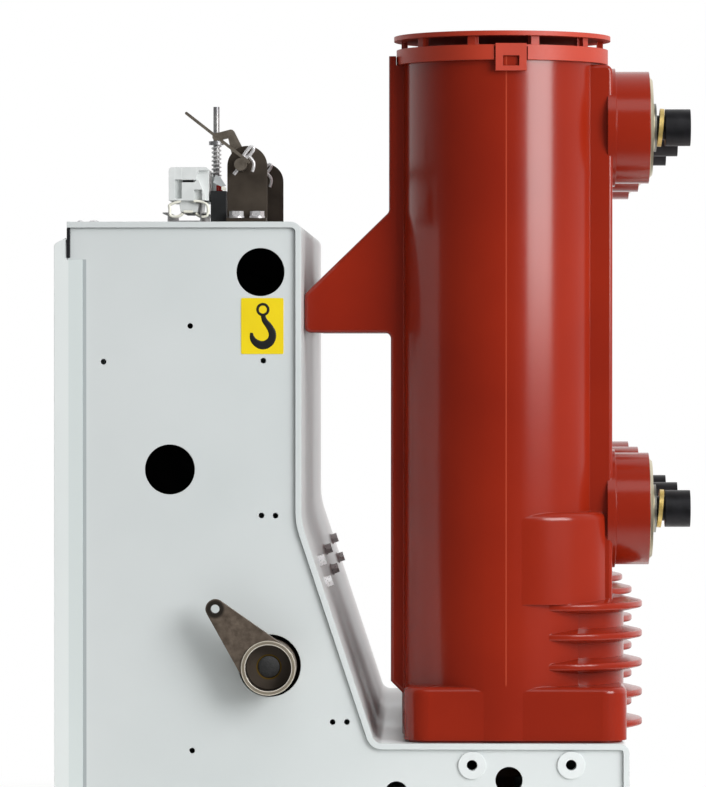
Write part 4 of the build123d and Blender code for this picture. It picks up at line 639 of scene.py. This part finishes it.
# Interlock gear on top: two round-topped brackets with an olive-brown passivated coat, bright bolts, a thin
# cross shaft with its hand needle, and split pins that keep the shaft in the brackets.
pin_wire = 0.0014
near_pin_y = -0.2815
far_pin_y = 0.0905
pin_eye = ((-0.0822, 0.5868), (-0.0773, 0.5905), (-0.0742, 0.5958), (-0.0775, 0.5972), (-0.0812, 0.5925),
           (-0.0840, 0.5880))
pin_low_leg = ((-0.0826, 0.5853), (-0.0870, 0.5790), (-0.0910, 0.5745))
pin_bent_leg = ((-0.0790, 0.5890), (-0.0758, 0.5860), (-0.0744, 0.5818), (-0.0762, 0.5766))

# Olive-brown passivation: dark and a little metallic, cloudy from the dipping.
olive_plate = finish(
    "olive_brown_passivated_steel", "#574E44", "#3F372F", 24.0, 1.2, (0.4, 0.55), metallic=0.55, relief_mm=0.03,
    edge_mm=0.5)[0]
dress(olive_plate, "shaft_brackets")
dress(bright_zinc, "bracket_bolts")
# Nickel plate on the cross shaft and needle: warm dark grey with a soft gloss.
warm_nickel = finish(
    "warm_nickel_plate", "#938A7E", "#70685D", 8.0, 0.9, (0.25, 0.42), metallic=0.6, relief_mm=0.003)[0]
dress(warm_nickel, "interlock_shaft")

for side, depth in (("near", near_pin_y), ("far", far_pin_y)):
    for part, path in (("eye", pin_eye), ("leg", pin_low_leg), ("bent_leg", pin_bent_leg)):
        wire = rod(f"split_pin_{side}_{part}", [(x, depth, z, pin_wire) for x, z in path], bright_zinc,
                   "interlock_shaft", cyclic=part == "eye")


# Plunger spring: a coil of thin zinc plated wire round the plunger, between the housing's guide and the
# plunger's collar. It shortens as the finger presses the plunger down.
coil_r = 0.0034
coil_wire_r = 0.0007
coil_turns = 7
turn_steps = 12

coil_low, coil_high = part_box("plunger_spring")
coil_middle = (Vector(coil_low) + Vector(coil_high)) / 2
coil_height = coil_high[2] - coil_low[2]
coil_steps = coil_turns * turn_steps
rise = (coil_height - 2 * coil_wire_r) / coil_steps
reach = coil_r / math.cos(math.pi / turn_steps)
coil_points = [(coil_middle.x + reach * math.cos(2 * math.pi * step / turn_steps),
                coil_middle.y + reach * math.sin(2 * math.pi * step / turn_steps),
                coil_low[2] + coil_wire_r + step * rise, coil_wire_r) for step in range(coil_steps + 1)]
coil = rod("plunger_coil", coil_points, bright_zinc, "breaker_frame")
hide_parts("plunger_spring")
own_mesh(coil)


# Terminal row: nine grey polyamide terminals clipped on a plated hat rail. The end face shows marker slots, a
# diagonal rib and the claws that grip the rail. Black strips in two slots between its ribs are painted shade.
block_near_y = -0.286
block_far_y = -0.1786
block_count = 9
block_gap = 0.0006
block_corner = 0.0035
block_round_z = 0.57
claw_r = 0.0012
claw_recess = 0.001
rib_gap_shade_recess = 0.0002
face_depth = 0.0038
face_corner = 0.0032
face_round_z = 0.58
face_round_x = (-0.1426, -0.1112)
block_pitch = (block_far_y - block_near_y - face_depth + block_gap) / block_count
body_corners = ((-0.1428, 0.5535), (-0.1428, 0.5802), (-0.1110, 0.5802), (-0.1110, 0.5535))
low_corners = ((-0.1335, 0.5442), (-0.1350, 0.5535), (-0.1188, 0.5535), (-0.1202, 0.5442))
face_ribs = (
    ((-0.1428, 0.5535), (-0.1428, 0.5802), (-0.1379, 0.5802), (-0.1379, 0.5535)),
    ((-0.1379, 0.5703), (-0.1379, 0.5802), (-0.1325, 0.5802), (-0.1325, 0.5703)),
    ((-0.1325, 0.5535), (-0.1325, 0.5680), (-0.1226, 0.5680), (-0.1226, 0.5535)),
    ((-0.1325, 0.5700), (-0.1325, 0.5802), (-0.1203, 0.5802), (-0.1203, 0.5742), (-0.1212, 0.5700)),
    ((-0.1226, 0.5622), (-0.1226, 0.5680), (-0.1205, 0.5700), (-0.1190, 0.5700), (-0.1135, 0.5575),
     (-0.1135, 0.5535), (-0.1162, 0.5535), (-0.1162, 0.5622)),
    ((-0.1203, 0.5742), (-0.1203, 0.5802), (-0.1110, 0.5802), (-0.1110, 0.5775), (-0.1185, 0.5775)),
    ((-0.1379, 0.5535), (-0.1379, 0.5550), (-0.1325, 0.5550), (-0.1325, 0.5535)),
)
claw_lines = (
    ((-0.1330, 0.5530), (-0.1430, 0.5508), (-0.1419, 0.5470), (-0.1424, 0.5428), (-0.1405, 0.5406),
     (-0.1338, 0.5406), (-0.1316, 0.5434)),
    ((-0.1308, 0.5445), (-0.1236, 0.5445)),
    ((-0.1212, 0.5434), (-0.1192, 0.5406), (-0.1128, 0.5406), (-0.1112, 0.5440), (-0.1116, 0.5500),
     (-0.1160, 0.5530), (-0.1230, 0.5530)),
)
rib_gap_shade_bars = (((-0.1315, 0.5683), (-0.1315, 0.5699), (-0.1232, 0.5699), (-0.1232, 0.5683)),
             ((-0.1210, 0.5514), (-0.1210, 0.5532), (-0.1130, 0.5532), (-0.1130, 0.5514)))

# Light grey polyamide: a matt moulding in a cool, faintly mottled grey.
grey_nylon = finish(
    "light_grey_polyamide", "#DDE0DF", "#D2D6D5", 10.0, 1.2, (0.4, 0.52), relief_mm=0.01, edge_mm=0.5)[0]
# Cream polyamide: the same matt moulding, warmer, on the claws and on the lever and flag by the switch.
cream_nylon = finish(
    "cream_polyamide", "#ECEBDF", "#DFDED0", 8.0, 1.0, (0.4, 0.52), relief_mm=0.01)[0]

terminal_bm = bmesh.new()
starts = [block_near_y + face_depth + step * block_pitch for step in range(block_count)]
for start in starts:
    prism(terminal_bm, body_corners, start, start + block_pitch - block_gap)
corner_round(terminal_bm, block_corner, 4, limit=lambda middle: middle.z > block_round_z)
for start in starts:
    prism(terminal_bm, low_corners, start, start + block_pitch - block_gap)
terminals = solid("terminal_blocks", terminal_bm, grey_nylon, "breaker_frame")
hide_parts("terminal_block")


def outer_corner(middle):
    """Whether an edge's middle lies at one of the two upper outer corners of the end face."""
    return middle.z > face_round_z and (middle.x < face_round_x[0] or middle.x > face_round_x[1])


face_bm = bmesh.new()
for outline in face_ribs:
    prism(face_bm, outline, block_near_y, block_near_y + face_depth)
corner_round(face_bm, face_corner, 4, limit=outer_corner)
solid("terminal_end_face", face_bm, grey_nylon, "breaker_frame")
# Painted shade: black strips, set just behind the face, fill two gaps between the end face's ribs.
rib_gap_shade_bm = bmesh.new()
for outline in rib_gap_shade_bars:
    prism(rib_gap_shade_bm, outline, block_near_y + rib_gap_shade_recess, block_near_y + face_depth)
solid("terminal_rib_gap_shade", rib_gap_shade_bm, black_nylon, "breaker_frame")
for step, path in enumerate(claw_lines):
    claw_points = [(x, block_near_y + claw_recess, z, claw_r) for x, z in path]
    claw = rod(f"terminal_claw_{step}", claw_points, cream_nylon, "breaker_frame")


# Signal switch: a black snap switch with a red button, and beside it a cream lever on a grey riser that the
# interlock moves past, with a thin cream flag below.
lever_y = -0.272
lever_outline = ((-0.1012, 0.5622), (-0.1012, 0.5650), (-0.1000, 0.5656), (-0.0975, 0.5640), (-0.0975, 0.5618))
riser_outline = ((-0.1078, 0.5680), (-0.1060, 0.5745), (-0.1025, 0.5730), (-0.0975, 0.5656), (-0.1012, 0.5650))
flag_outline = ((-0.0978, 0.5556), (-0.1022, 0.5545), (-0.0990, 0.5510), (-0.1040, 0.5440), (-0.0978, 0.5482))
thin_t = 0.003
thin_corner = 0.0004
for name, outline, material in (("switch_lever", lever_outline, cream_nylon),
                                ("switch_riser", riser_outline, grey_flag),
                                ("switch_flag", flag_outline, cream_nylon)):
    lever_bm = bmesh.new()
    prism(lever_bm, outline, lever_y - thin_t, lever_y)
    corner_round(lever_bm, thin_corner, 2)
    solid(name, lever_bm, material, "breaker_frame")
